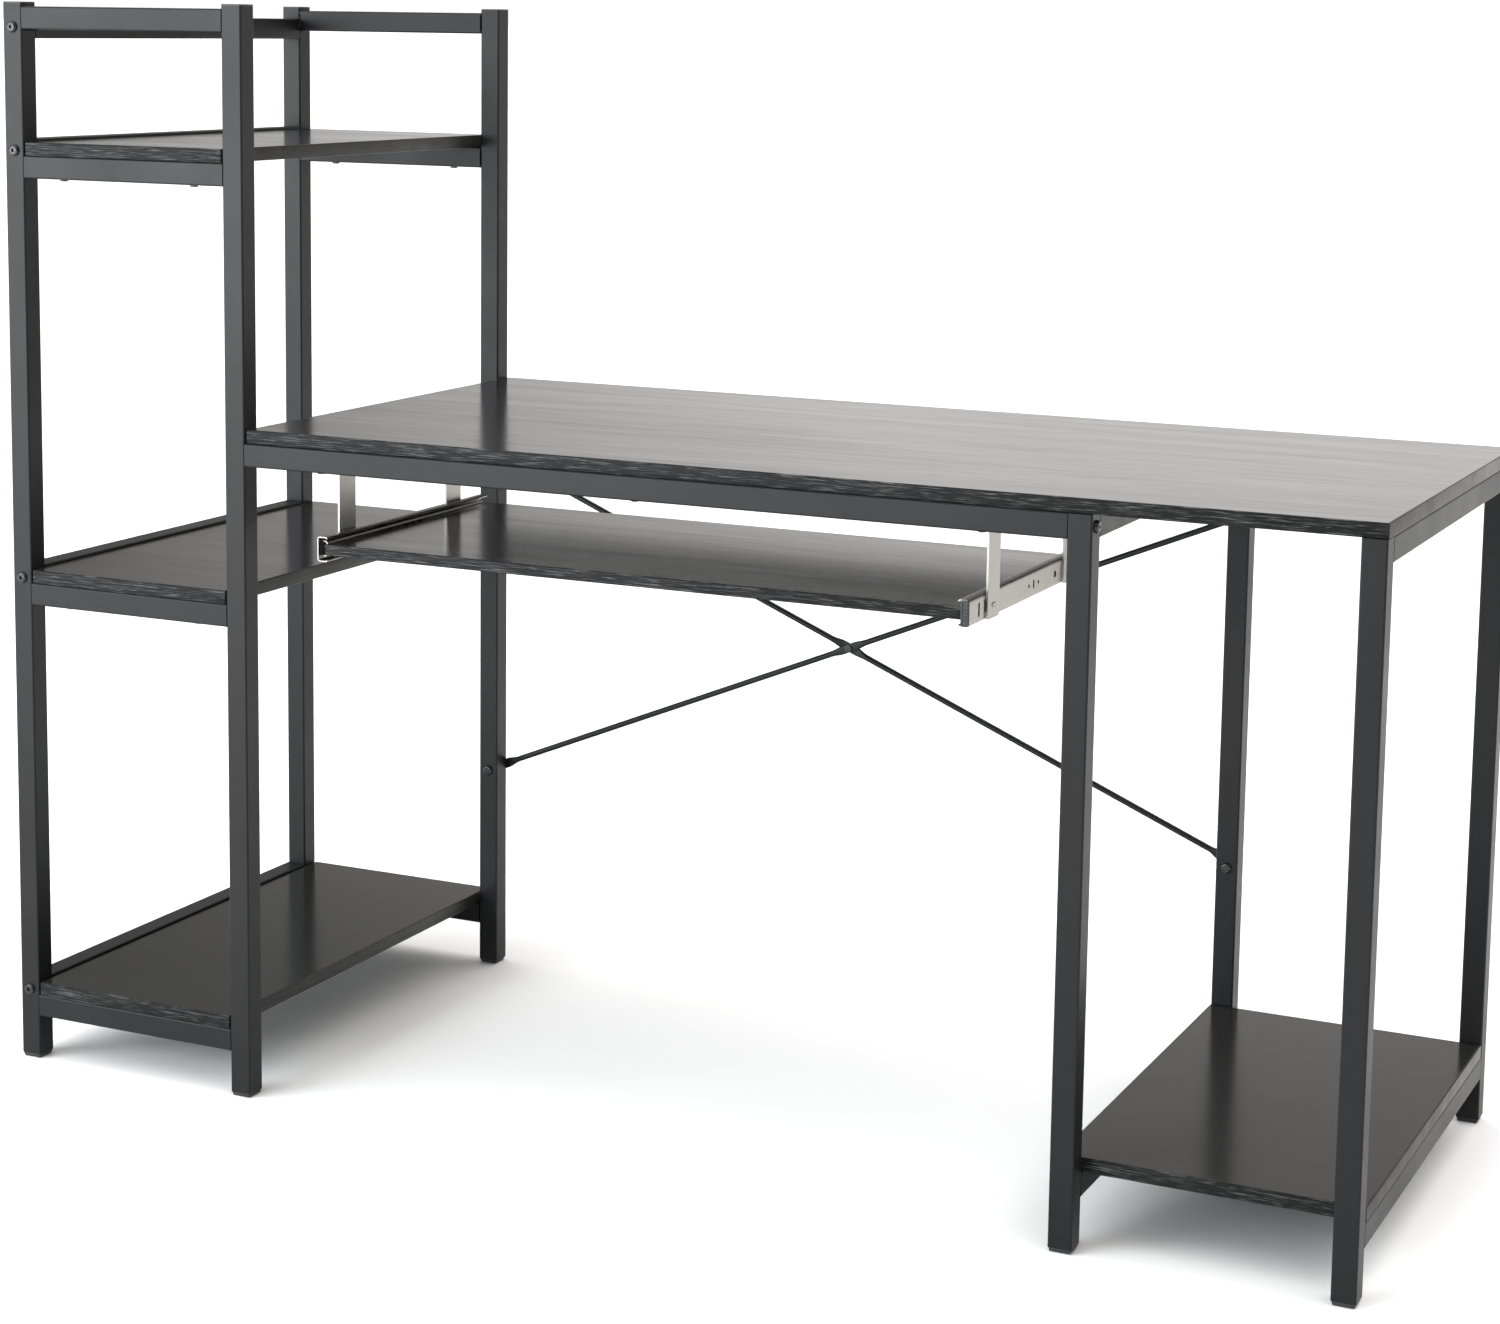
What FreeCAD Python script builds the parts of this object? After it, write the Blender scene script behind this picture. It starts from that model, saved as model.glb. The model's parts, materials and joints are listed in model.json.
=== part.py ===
import FreeCAD, Part
import Sketcher
import math
import os
import re

# Computer desk with a shelf tower at its left and a keyboard tray on slides.
# Millimetres. X runs along the desk from the tower, Y from front to back, Z up.
# The origin is on the floor, under the middle of the frames' footprint.
# Square steel tubes carry laminated boards. The tray hangs from four brackets.

V = FreeCAD.Vector

SIZES = {
    # whole object
    "overall_width": 1550, "frame_depth": 572, "tower_height": 1200, "desk_height": 747,
    "tower_width": 312, "knee_width": 932,
    # square tube
    "tube_size": 25, "tube_wall": 1.2, "tube_round": 2,
    # boards, and the heights of the shelves' top faces
    "board_thickness": 15, "board_round": 0.8, "shelf_gap": 1.5, "desktop_setback": 3,
    "shelf_lower": 91, "shelf_middle": 569, "shelf_upper": 1047, "low_shelf_gap": 2,
    # rails of the tower, down from its top or up from a shelf
    "top_rail_drop": 5, "side_rail_drop": 15, "side_rail_rise": 3,
    # plastic caps and glides in the tube ends
    "cap_plate": 2, "plug_length": 18, "plug_play": 0.15,
    "foot_height": 5, "foot_size": 22.4, "foot_chamfer": 2,
    # button-head bolts and the nut plates in the rail ends
    "bolt_radius": 3, "bolt_length": 33, "bolt_head_radius": 6.4, "bolt_head_height": 3.3,
    "bolt_head_round": 2.6, "socket_flats": 4, "socket_depth": 2, "bolt_play": 0.2,
    "nut_plate": 5, "brace_bolt_length": 31,
    # screws up through the rails into the boards, and their places from the rail ends
    "screw_radius": 2, "screw_bite": 10, "screw_head_radius": 4.5, "screw_head_height": 2.2,
    "screw_play": 0.1, "shelf_screw_inset": 45, "rail_screw_inset": 90, "tip_gap": 1,
    "small_head_radius": 3.9,
    # cross brace at the back
    "rod_radius": 3.5, "brace_low": 251, "brace_high": 650, "tab_thickness": 2.5,
    "tab_half_height": 6, "tab_reach": 22, "tab_taper": 6, "tab_corner": 4.2, "eye_radius": 7.5,
    "eye_clearance": 1, "nut_radius": 5, "nut_height": 3.8,
    "rivet_head_radius": 5, "rivet_head_height": 2,
    # keyboard tray
    "tray_width": 724, "tray_depth": 336, "tray_thickness": 12, "tray_top": 632, "tray_lead": 4,
    # slides
    "slide_span": 742, "slide_length": 340, "slide_height": 27, "slide_depth": 12.7,
    "slide_wall": 1.2, "slide_round": 2.2, "slide_middle": 626.5,
    "inner_half_height": 8.5, "inner_wall": 1.1, "inner_reach": 6, "inner_setback": 6,
    "inner_end_gap": 4,
    "cage_length": 90, "cage_start": 125, "cage_wall": 0.6, "cage_half_height": 10.7,
    "cage_play": 0.2, "ball_radius": 1.75, "ball_offset": 10.4, "ball_depth": 5.8,
    "ball_pitch": 16, "bumper_plate": 1.5, "bumper_half_height": 13, "bumper_play": 0.2,
    "bumper_plug_play": 0.4,
    # slots and holes of the fixed channels, back from their front end
    "slot_width": 4, "front_slot": 24, "front_slot_half": 7.3, "lock_slot": 40,
    "lock_slot_bottom": 5.4, "lock_slot_top": 7.6, "rear_slot": 180, "rear_slot_half": 4,
    "rivet_hole_radius": 2, "rivet_hole_offset": 14, "access_hole": 247,
    "access_hole_radius": 3.5, "end_hole": 318, "end_hole_radius": 2.5,
    # hanger brackets
    "bracket_width": 32, "bracket_wall": 2.5, "bracket_flange": 27, "bracket_front": 56,
    "bracket_back": 280, "hanger_screw_radius": 1.8, "hanger_screw_inset": 8,
    "hanger_screw_bite": 11, "tray_screw_bite": 14, "tray_screw_inset": 41,
    # clinched block where a bracket holds its slide
    "clinch_front": 4, "clinch_back": 5, "clinch_drop": 3, "clinch_rise": 2, "clinch_proud": 1,
}

# Expressions of places that many sub-parts share.
LEFT = "(-overall_width / 2)"
FRONT = "(-frame_depth / 2)"
BACK = "(frame_depth / 2)"
HALF_TUBE = "(tube_size / 2)"
TOWER_RIGHT = "(tower_width - overall_width / 2)"
MIDDLE_LEFT = "(tower_width + knee_width - overall_width / 2)"
RIGHT = "(overall_width / 2)"
FRONT_ROW = f"({FRONT} + {HALF_TUBE})"
BACK_ROW = f"({BACK} - {HALF_TUBE})"
UNDER_DESKTOP = "(desk_height - board_thickness)"
DESK_RAIL_HEIGHT = f"({UNDER_DESKTOP} - {HALF_TUBE})"
TOP_SIDE_RAIL = f"(tower_height - side_rail_drop - {HALF_TUBE})"
INNER_SIZE = "(tube_size - 2 * tube_wall)"
HOLE_FOR_BOLT = "(bolt_radius + bolt_play)"
HOLE_FOR_SCREW = "(screw_radius + screw_play)"
SHELVES = ["lower", "middle", "upper"]
BALL_STEPS = [-2, -1, 0, 1, 2]
TOUCH = 0.01

# Turns that lay a piece made along local Z, or point a fastener's head.
UPRIGHT = FreeCAD.Rotation()
ALONG_X = FreeCAD.Rotation(V(0, 1, 0), 90)
ALONG_Y = FreeCAD.Rotation(V(1, 0, 0), -90)
HEAD = {
    "front": FreeCAD.Rotation(V(1, 0, 0), 90),
    "back": FreeCAD.Rotation(V(1, 0, 0), -90),
    "right": FreeCAD.Rotation(V(0, 1, 0), 90),
    "left": FreeCAD.Rotation(V(0, 1, 0), -90),
    "down": FreeCAD.Rotation(V(1, 0, 0), 180),
}

doc = FreeCAD.newDocument("ComputerDesk")
sub_parts = []


def make_sheet():
    """Writes the driving dimensions, one aliased cell each."""
    sheet = doc.addObject("Spreadsheet::Sheet", "Sizes")
    for row, (name, value) in enumerate(SIZES.items(), start=1):
        sheet.set(f"A{row}", name)
        sheet.set(f"B{row}", str(value))
        sheet.setAlias(f"B{row}", name)
    doc.recompute()


def bind(item, property_path, text):
    """Binds a property to an expression written with the sheet's bare names."""
    def cell(match):
        word = match.group(0)
        return f"Sizes.{word}" if word in SIZES else word
    item.setExpression(property_path, re.sub(r"[a-z_]+", cell, text))


def place(item, x, y, z, turn=UPRIGHT):
    """Puts an item at an expression-driven place, turned by a fixed rotation."""
    item.Placement = FreeCAD.Placement(V(0, 0, 0), turn)
    for axis, text in zip("xyz", (x, y, z)):
        bind(item, f"Placement.Base.{axis}", text)


# Sketches and features -------------------------------------------------------

def new_body(label):
    body = doc.addObject("PartDesign::Body", label)
    body.Label = label
    return body


def sketch_on(body, role):
    """A sketch on one of the body's own origin planes."""
    sketch = body.newObject("Sketcher::SketchObject", f"{body.Label}_sketch")
    plane = next(item for item in body.Origin.OriginFeatures if item.Role == role)
    sketch.AttachmentSupport = (plane, "")
    sketch.MapMode = "FlatFace"
    return sketch


def hold_point(sketch, geometry, position, x, y):
    """Fixes a point of the sketch at expression-driven coordinates."""
    point = sketch.getPoint(geometry, position)
    for kind, now, text in (("DistanceX", point.x, x), ("DistanceY", point.y, y)):
        made = sketch.addConstraint(
            Sketcher.Constraint(kind, -1, 1, geometry, position, now))
        bind(sketch, f"Constraints[{made}]", text)


def polygon(sketch, corners):
    """A closed outline through corners given as pairs of expressions."""
    count = len(corners)
    first = sketch.GeometryCount
    start = [V(math.cos(2 * math.pi * i / count), math.sin(2 * math.pi * i / count))
             for i in range(count)]
    for i in range(count):
        sketch.addGeometry(Part.LineSegment(start[i], start[(i + 1) % count]), False)
    for i in range(count):
        sketch.addConstraint(Sketcher.Constraint(
            "Coincident", first + i, 2, first + (i + 1) % count, 1))
    for i, (x, y) in enumerate(corners):
        hold_point(sketch, first + i, 1, x, y)


def rectangle(sketch, left, bottom, right, top):
    polygon(sketch, [(left, bottom), (right, bottom), (right, top), (left, top)])


def centred_square(sketch, side):
    half = f"({side}) / 2"
    rectangle(sketch, f"-{half}", f"-{half}", half, half)


def circle(sketch, x, y, radius):
    made = sketch.addGeometry(Part.Circle(V(0, 0), V(0, 0, 1), 1), False)
    hold_point(sketch, made, 3, x, y)
    size = sketch.addConstraint(Sketcher.Constraint("Radius", made, 1))
    bind(sketch, f"Constraints[{size}]", radius)


def pad(body, sketch, length, side="One side", flip=False):
    feature = body.newObject("PartDesign::Pad", f"{body.Label}_pad")
    feature.Profile = sketch
    feature.SideType = side
    feature.Reversed = flip
    bind(feature, "Length", length)
    doc.recompute()
    return feature


def pocket(body, sketch, length, side="Symmetric", flip=False):
    """Cuts a sketch out of the body, and fails if nothing was cut."""
    before = body.Shape.Volume
    feature = body.newObject("PartDesign::Pocket", f"{body.Label}_pocket")
    feature.Profile = sketch
    feature.SideType = side
    feature.Reversed = flip
    bind(feature, "Length", length)
    doc.recompute()
    if body.Shape.Volume > before - 0.1:
        raise RuntimeError(f"a pocket of {body.Label} cuts nothing")
    return feature


def fillet(body, base, radius, wanted):
    """Rounds the edges of the base feature that the test picks."""
    names = [f"Edge{i}" for i, edge in enumerate(base.Shape.Edges, start=1) if wanted(edge)]
    feature = body.newObject("PartDesign::Fillet", f"{body.Label}_fillet")
    feature.Base = (base, names)
    bind(feature, "Radius", radius)
    doc.recompute()
    return feature


def keep(item):
    """Takes an item as a sub-part that gets a file of its own."""
    sub_parts.append(item)
    return item


def group(label, template, places):
    """Copies a template to several places, as one sub-part of separate solids."""
    copies = []
    for x, y, z, turn in places:
        copy = doc.addObject("App::Link", f"{label}_copy")
        copy.LinkedObject = template
        place(copy, x, y, z, turn)
        copies.append(copy)
    whole = doc.addObject("Part::Compound", label)
    whole.Label = label
    whole.Links = copies
    return keep(whole)


# Tubes and boards ------------------------------------------------------------

def tube(label, length, x, y, z, turn=UPRIGHT, across=None, down=None):
    """A square tube along local Z from its end.

    Where given, across and down are (heights, radius) of holes through both walls,
    along local X and along local Y.
    """
    body = new_body(label)
    outline = sketch_on(body, "XY_Plane")
    centred_square(outline, "tube_size")
    centred_square(outline, INNER_SIZE)
    wall = pad(body, outline, length)
    corner = SIZES["tube_size"] / 2

    def is_outer_corner(edge):
        box = edge.BoundBox
        return box.ZLength > corner and min(abs(box.XMin), abs(box.YMin)) > corner - TOUCH

    fillet(body, wall, "tube_round", is_outer_corner)
    for plane, drilled in (("YZ_Plane", across), ("XZ_Plane", down)):
        if drilled:
            heights, radius = drilled
            holes = sketch_on(body, plane)
            for height in heights:
                circle(holes, "0", height, radius)
            pocket(body, holes, "2 * tube_size")
    place(body, x, y, z, turn)
    return keep(body)


def board(label, width, depth, thickness, x, y, z, screws):
    """A flat board from its front left bottom corner, with blind screw holes below."""
    body = new_body(label)
    outline = sketch_on(body, "XY_Plane")
    rectangle(outline, "0", "0", width, depth)
    slab = pad(body, outline, thickness)
    fillet(body, slab, "board_round", lambda edge: True)
    for group_of_screws, bite, hole in screws:
        holes = sketch_on(body, "XY_Plane")
        for screw_x, screw_y in group_of_screws:
            circle(holes, screw_x, screw_y, hole)
        pocket(body, holes, bite, side="One side", flip=True)
    place(body, x, y, z)
    return keep(body)


# The tower -------------------------------------------------------------------

def side_rail_height(shelf):
    return f"(shelf_{shelf} + side_rail_rise - {HALF_TUBE})"


def cross_rail_height(shelf):
    return f"(shelf_{shelf} - board_thickness - {HALF_TUBE})"


def above_foot(height):
    return f"({height} - foot_height)"


def tower_posts():
    """Four full-height posts: bolted to side rails at the left, to the desk at the right."""
    length = "tower_height - cap_plate - foot_height"
    bolted = [above_foot(side_rail_height(shelf)) for shelf in SHELVES]
    bolted.append(above_foot(TOP_SIDE_RAIL))
    desk_bolt = ([above_foot(DESK_RAIL_HEIGHT)], HOLE_FOR_BOLT)
    brace_bolts = ([above_foot("brace_low"), above_foot("brace_high")], HOLE_FOR_BOLT)
    left = f"{LEFT} + {HALF_TUBE}"
    right = f"{TOWER_RIGHT} - {HALF_TUBE}"
    tube("tower_post_front_left", length, left, FRONT_ROW, "foot_height",
         down=(bolted, HOLE_FOR_BOLT))
    tube("tower_post_back_left", length, left, BACK_ROW, "foot_height",
         down=(bolted, HOLE_FOR_BOLT))
    tube("tower_post_front_right", length, right, FRONT_ROW, "foot_height", across=desk_bolt)
    tube("tower_post_back_right", length, right, BACK_ROW, "foot_height",
         across=desk_bolt, down=brace_bolts)


def tower_rails():
    """Cross rails under each shelf and at the top, and the side rails at the left."""
    cross_length = "tower_width - 2 * tube_size"
    start_x = f"{LEFT} + tube_size"
    screws = (["shelf_screw_inset", f"{cross_length} - shelf_screw_inset"], HOLE_FOR_SCREW)
    side_length = "frame_depth - 2 * tube_size"
    side_x = f"{LEFT} + {HALF_TUBE}"
    for row, row_y in (("front", FRONT_ROW), ("back", BACK_ROW)):
        for shelf in SHELVES:
            tube(f"tower_{row}_rail_{shelf}", cross_length, start_x, row_y,
                 cross_rail_height(shelf), ALONG_X, across=screws)
        tube(f"tower_{row}_rail_top", cross_length, start_x, row_y,
             f"tower_height - top_rail_drop - {HALF_TUBE}", ALONG_X)
    for shelf in SHELVES:
        tube(f"tower_side_rail_{shelf}", side_length, side_x, f"{FRONT} + tube_size",
             side_rail_height(shelf), ALONG_Y)
    tube("tower_side_rail_top", side_length, side_x, f"{FRONT} + tube_size",
         TOP_SIDE_RAIL, ALONG_Y)


def tower_shelves():
    """Three boards between the posts, flush with the frames front and back."""
    width = "(tower_width - 2 * tube_size - 2 * shelf_gap)"
    inset = "(shelf_screw_inset - shelf_gap)"
    places = [(x, y) for x in (inset, f"{width} - {inset}")
              for y in (HALF_TUBE, f"frame_depth - {HALF_TUBE}")]
    for shelf in SHELVES:
        board(f"tower_shelf_{shelf}", width, "frame_depth", "board_thickness",
              f"{LEFT} + tube_size + shelf_gap", FRONT, f"shelf_{shelf} - board_thickness",
              [(places, "screw_bite", HOLE_FOR_SCREW)])


# The desk --------------------------------------------------------------------

def desk_frames():
    """The middle and right frames, each two posts with a top and a bottom rail."""
    length = f"{UNDER_DESKTOP} - foot_height"
    rail_length = "frame_depth - 2 * tube_size"
    rail_screws = (["rail_screw_inset", f"{rail_length} - rail_screw_inset"], HOLE_FOR_SCREW)
    desk_bolt = ([above_foot(DESK_RAIL_HEIGHT)], HOLE_FOR_BOLT)
    brace_bolts = ([above_foot("brace_low"), above_foot("brace_high")], HOLE_FOR_BOLT)
    middle_x = f"{MIDDLE_LEFT} + {HALF_TUBE}"
    right_x = f"{RIGHT} - {HALF_TUBE}"
    tube("middle_post_front", length, middle_x, FRONT_ROW, "foot_height", across=desk_bolt)
    tube("middle_post_back", length, middle_x, BACK_ROW, "foot_height",
         across=desk_bolt, down=brace_bolts)
    tube("right_post_front", length, right_x, FRONT_ROW, "foot_height")
    tube("right_post_back", length, right_x, BACK_ROW, "foot_height")
    for frame, frame_x in (("middle", middle_x), ("right", right_x)):
        tube(f"{frame}_frame_rail_top", rail_length, frame_x, f"{FRONT} + tube_size",
             DESK_RAIL_HEIGHT, ALONG_Y, down=rail_screws)
        tube(f"{frame}_frame_rail_bottom", rail_length, frame_x, f"{FRONT} + tube_size",
             cross_rail_height("lower"), ALONG_Y, down=rail_screws)


def desk_rails():
    """Front and back rails from the tower to the middle frame, under the desktop."""
    screws = (desk_rail_screws(), HOLE_FOR_SCREW)
    for row, row_y in (("front", FRONT_ROW), ("back", BACK_ROW)):
        tube(f"desk_rail_{row}", "knee_width", TOWER_RIGHT, row_y, DESK_RAIL_HEIGHT,
             ALONG_X, across=screws)


def desk_rail_screws():
    return ["rail_screw_inset", "knee_width / 2", "knee_width - rail_screw_inset"]


def frame_rail_screws():
    """Places of the screws of a frame's rail, back from the front of the frames."""
    return ["(tube_size + rail_screw_inset)", "(frame_depth - tube_size - rail_screw_inset)"]


def hanger_screws():
    """Places of the tray hangers' screws, as (x, y) in the whole object's frame."""
    middle = "(tower_width + knee_width / 2 - overall_width / 2)"
    reach = "(slide_span / 2 + bracket_wall + (bracket_flange - bracket_wall) / 2)"
    places = []
    for side in ("-", "+"):
        for bracket in ("bracket_front", "bracket_back"):
            for step in ("-", "+"):
                places.append((f"({middle} {side} {reach})",
                               f"({FRONT} + {bracket} {step} hanger_screw_inset)"))
    return places


def desk_boards():
    """The desktop, and the low shelf on the frames' bottom rails."""
    rows = (f"({HALF_TUBE} - desktop_setback)", f"(frame_depth - {HALF_TUBE} - desktop_setback)")
    rails = [(x, y) for x in desk_rail_screws() for y in rows]
    frames = (f"(knee_width + {HALF_TUBE})", f"(overall_width - tower_width - {HALF_TUBE})")
    rails += [(x, f"({y} - desktop_setback)") for x in frames for y in frame_rail_screws()]
    hangers = [(f"({x} - {TOWER_RIGHT})", f"({y} - {FRONT} - desktop_setback)")
               for x, y in hanger_screws()]
    board("desktop", "overall_width - tower_width", "frame_depth", "board_thickness",
          TOWER_RIGHT, f"{FRONT} + desktop_setback", UNDER_DESKTOP,
          [(rails, "screw_bite", HOLE_FOR_SCREW),
           (hangers, "hanger_screw_bite", "hanger_screw_radius + screw_play")])

    width = "(overall_width - tower_width - knee_width)"
    low = [(x, f"({y} - tube_size - low_shelf_gap)")
           for x in (HALF_TUBE, f"({width} - {HALF_TUBE})") for y in frame_rail_screws()]
    board("low_shelf", width, "frame_depth - 2 * tube_size - 2 * low_shelf_gap",
          "board_thickness", MIDDLE_LEFT, f"{FRONT} + tube_size + low_shelf_gap",
          "shelf_lower - board_thickness", [(low, "screw_bite", HOLE_FOR_SCREW)])


# Caps, glides and fasteners --------------------------------------------------

def post_places(height):
    tower = [f"{LEFT} + {HALF_TUBE}", f"{TOWER_RIGHT} - {HALF_TUBE}"]
    return [(x, y, height, UPRIGHT) for x in tower for y in (FRONT_ROW, BACK_ROW)]


def cap_template():
    """Cap plate over the tube's end with a plug inside the tube."""
    body = new_body("cap_template")
    plate = sketch_on(body, "XY_Plane")
    centred_square(plate, "tube_size")
    slab = pad(body, plate, "cap_plate")
    fillet(body, slab, "tube_round", lambda edge: edge.BoundBox.ZLength > TOUCH)
    plug = sketch_on(body, "XY_Plane")
    centred_square(plug, f"{INNER_SIZE} - 2 * plug_play")
    pad(body, plug, "plug_length", flip=True)
    return body


def glide_template():
    """Foot of a post: a plug up inside the tube and a bevelled pad on the floor."""
    body = new_body("glide_template")
    foot = sketch_on(body, "XY_Plane")
    centred_square(foot, "foot_size")
    slab = pad(body, foot, "foot_height")
    bevel = body.newObject("PartDesign::Chamfer", "glide_bevel")
    on_floor = [f"Edge{i}" for i, edge in enumerate(slab.Shape.Edges, start=1)
                if edge.BoundBox.ZMax < TOUCH]
    bevel.Base = (slab, on_floor)
    bind(bevel, "Size", "foot_chamfer")
    plug = sketch_on(body, "XY_Plane")
    centred_square(plug, f"{INNER_SIZE} - 2 * plug_play")
    pad(body, plug, "foot_height + plug_length")
    return body


def caps_and_glides():
    group("post_caps", cap_template(), post_places("tower_height - cap_plate"))
    desk = [(x, y, "0", UPRIGHT)
            for x in (f"{MIDDLE_LEFT} + {HALF_TUBE}", f"{RIGHT} - {HALF_TUBE}")
            for y in (FRONT_ROW, BACK_ROW)]
    group("foot_glides", glide_template(), post_places("0") + desk)


def shank_and_head(label, shank_radius, shank_length, head_radius, head_height, head_round):
    """A fastener whose head stands above local Z = 0 and whose shank goes down."""
    body = new_body(label)
    head = sketch_on(body, "XY_Plane")
    circle(head, "0", "0", head_radius)
    disc = pad(body, head, head_height)
    fillet(body, disc, head_round, lambda edge: edge.BoundBox.ZMin > TOUCH)
    shank = sketch_on(body, "XY_Plane")
    circle(shank, "0", "0", shank_radius)
    pad(body, shank, shank_length, flip=True)
    return body


def bolt_template():
    """Button-head bolt with a six-sided socket."""
    body = shank_and_head("bolt_template", "bolt_radius", "bolt_length",
                          "bolt_head_radius", "bolt_head_height", "bolt_head_round")
    socket = body.newObject("Sketcher::SketchObject", "bolt_socket")
    top = next(f"Face{i}" for i, face in enumerate(body.Shape.Faces, start=1)
               if face.BoundBox.ZMin > SIZES["bolt_head_height"] - TOUCH)
    socket.AttachmentSupport = (body.Tip, top)
    socket.MapMode = "FlatFace"
    corners = []
    for i in range(6):
        turn = math.radians(30 + 60 * i)
        corners.append(tuple(f"socket_flats * {part / math.sqrt(3):.6f}"
                             for part in (math.cos(turn), math.sin(turn))))
    polygon(socket, corners)
    pocket(body, socket, "socket_depth", side="One side")
    return body


def frame_bolts():
    """Bolts of the tower's side rails and of the desk's two rails."""
    heights = [side_rail_height(shelf) for shelf in SHELVES] + [TOP_SIDE_RAIL]
    left = f"{LEFT} + {HALF_TUBE}"
    places = [(left, FRONT, height, HEAD["front"]) for height in heights]
    places += [(left, BACK, height, HEAD["back"]) for height in heights]
    for row_y in (FRONT_ROW, BACK_ROW):
        places.append((f"{TOWER_RIGHT} - tube_size", row_y, DESK_RAIL_HEIGHT, HEAD["left"]))
        places.append((f"{MIDDLE_LEFT} + tube_size", row_y, DESK_RAIL_HEIGHT, HEAD["right"]))
    group("frame_bolts", bolt_template(), places)


def rail_nut_plates():
    """Threaded plates just inside the ends of the bolted rails."""
    body = new_body("nut_plate_template")
    outline = sketch_on(body, "XY_Plane")
    centred_square(outline, f"{INNER_SIZE} - 2 * plug_play")
    circle(outline, "0", "0", "bolt_radius + plug_play")
    pad(body, outline, "nut_plate")
    heights = [side_rail_height(shelf) for shelf in SHELVES] + [TOP_SIDE_RAIL]
    left = f"{LEFT} + {HALF_TUBE}"
    ends_y = (f"{FRONT} + tube_size", f"{BACK} - tube_size - nut_plate")
    places = [(left, y, height, ALONG_Y) for y in ends_y for height in heights]
    for row_y in (FRONT_ROW, BACK_ROW):
        for end_x in (TOWER_RIGHT, f"{MIDDLE_LEFT} - nut_plate"):
            places.append((end_x, row_y, DESK_RAIL_HEIGHT, ALONG_X))
    group("rail_nut_plates", body, places)


def board_screws():
    """Screws up through the rails into the shelves and the desktop."""
    screw = shank_and_head("board_screw_template", "screw_radius", "tube_size + screw_bite - tip_gap",
                           "screw_head_radius", "screw_head_height", "screw_radius / 2")
    places = []
    for shelf in SHELVES:
        for x in ("shelf_screw_inset", "tower_width - 2 * tube_size - shelf_screw_inset"):
            for y in (FRONT_ROW, BACK_ROW):
                places.append((f"{LEFT} + tube_size + {x}", y,
                               f"shelf_{shelf} - board_thickness - tube_size", HEAD["down"]))
    under_rail = f"{UNDER_DESKTOP} - tube_size"
    for x in desk_rail_screws():
        for y in (FRONT_ROW, BACK_ROW):
            places.append((f"{TOWER_RIGHT} + {x}", y, under_rail, HEAD["down"]))
    for x in (f"{MIDDLE_LEFT} + {HALF_TUBE}", f"{RIGHT} - {HALF_TUBE}"):
        for y in frame_rail_screws():
            for z in (under_rail, "shelf_lower - board_thickness - tube_size"):
                places.append((x, f"{FRONT} + {y}", z, HEAD["down"]))
    group("board_screws", screw, places)


# The cross brace -------------------------------------------------------------

def brace_rod(label, rising):
    """A round rod whose ends and middle are pressed flat, along local X.

    Local Y = 0 is the back of the posts. At the middle one rod keeps its front
    half and the other its back half, so that the two cross in one plane.
    """
    run = SIZES["knee_width"] + SIZES["tube_size"]
    rise = SIZES["brace_high"] - SIZES["brace_low"]
    slope = math.degrees(math.atan2(rise, run))
    half = ("(sqrt((knee_width + tube_size) * (knee_width + tube_size)"
            " + (brace_high - brace_low) * (brace_high - brace_low)) / 2)")
    body = new_body(label)
    section = sketch_on(body, "YZ_Plane")
    circle(section, "rod_radius", "0", "rod_radius")
    pad(body, section, f"2 * ({half} - tab_reach)", side="Symmetric")

    tabs = sketch_on(body, "XZ_Plane")
    for side in ("-", ""):
        polygon(tabs, [(f"{side}({half} - tab_reach - tab_taper)", "-rod_radius"),
                       (f"{side}({half} - tab_reach + tab_taper)", "-tab_half_height"),
                       (f"{side}{half}", "-tab_half_height"),
                       (f"{side}({half} + tab_corner)", "-tab_corner"),
                       (f"{side}({half} + tab_half_height)", "0"),
                       (f"{side}({half} + tab_corner)", "tab_corner"),
                       (f"{side}{half}", "tab_half_height"),
                       (f"{side}({half} - tab_reach + tab_taper)", "tab_half_height"),
                       (f"{side}({half} - tab_reach - tab_taper)", "rod_radius")])
    pad(body, tabs, "tab_thickness", flip=True)

    clear = sketch_on(body, "XY_Plane")
    low, high = ("rod_radius", "2 * rod_radius") if rising else ("0", "rod_radius")
    rectangle(clear, "-eye_radius - eye_clearance", low, "eye_radius + eye_clearance", high)
    pocket(body, clear, "4 * rod_radius")
    eye = sketch_on(body, "XZ_Plane")
    circle(eye, "0", "0", "eye_radius")
    if rising:
        pad(body, eye, "rod_radius", flip=True)
    else:
        bind(eye, "AttachmentOffset.Base.z", "-rod_radius")
        pad(body, eye, "rod_radius", flip=True)

    holes = sketch_on(body, "XZ_Plane")
    for x in (f"-{half}", "0", half):
        circle(holes, x, "0", HOLE_FOR_BOLT)
    pocket(body, holes, "6 * rod_radius")
    place(body, f"{TOWER_RIGHT} + knee_width / 2", BACK, "(brace_low + brace_high) / 2",
          FreeCAD.Rotation(V(0, 1, 0), -slope if rising else slope))
    return keep(body)


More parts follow.
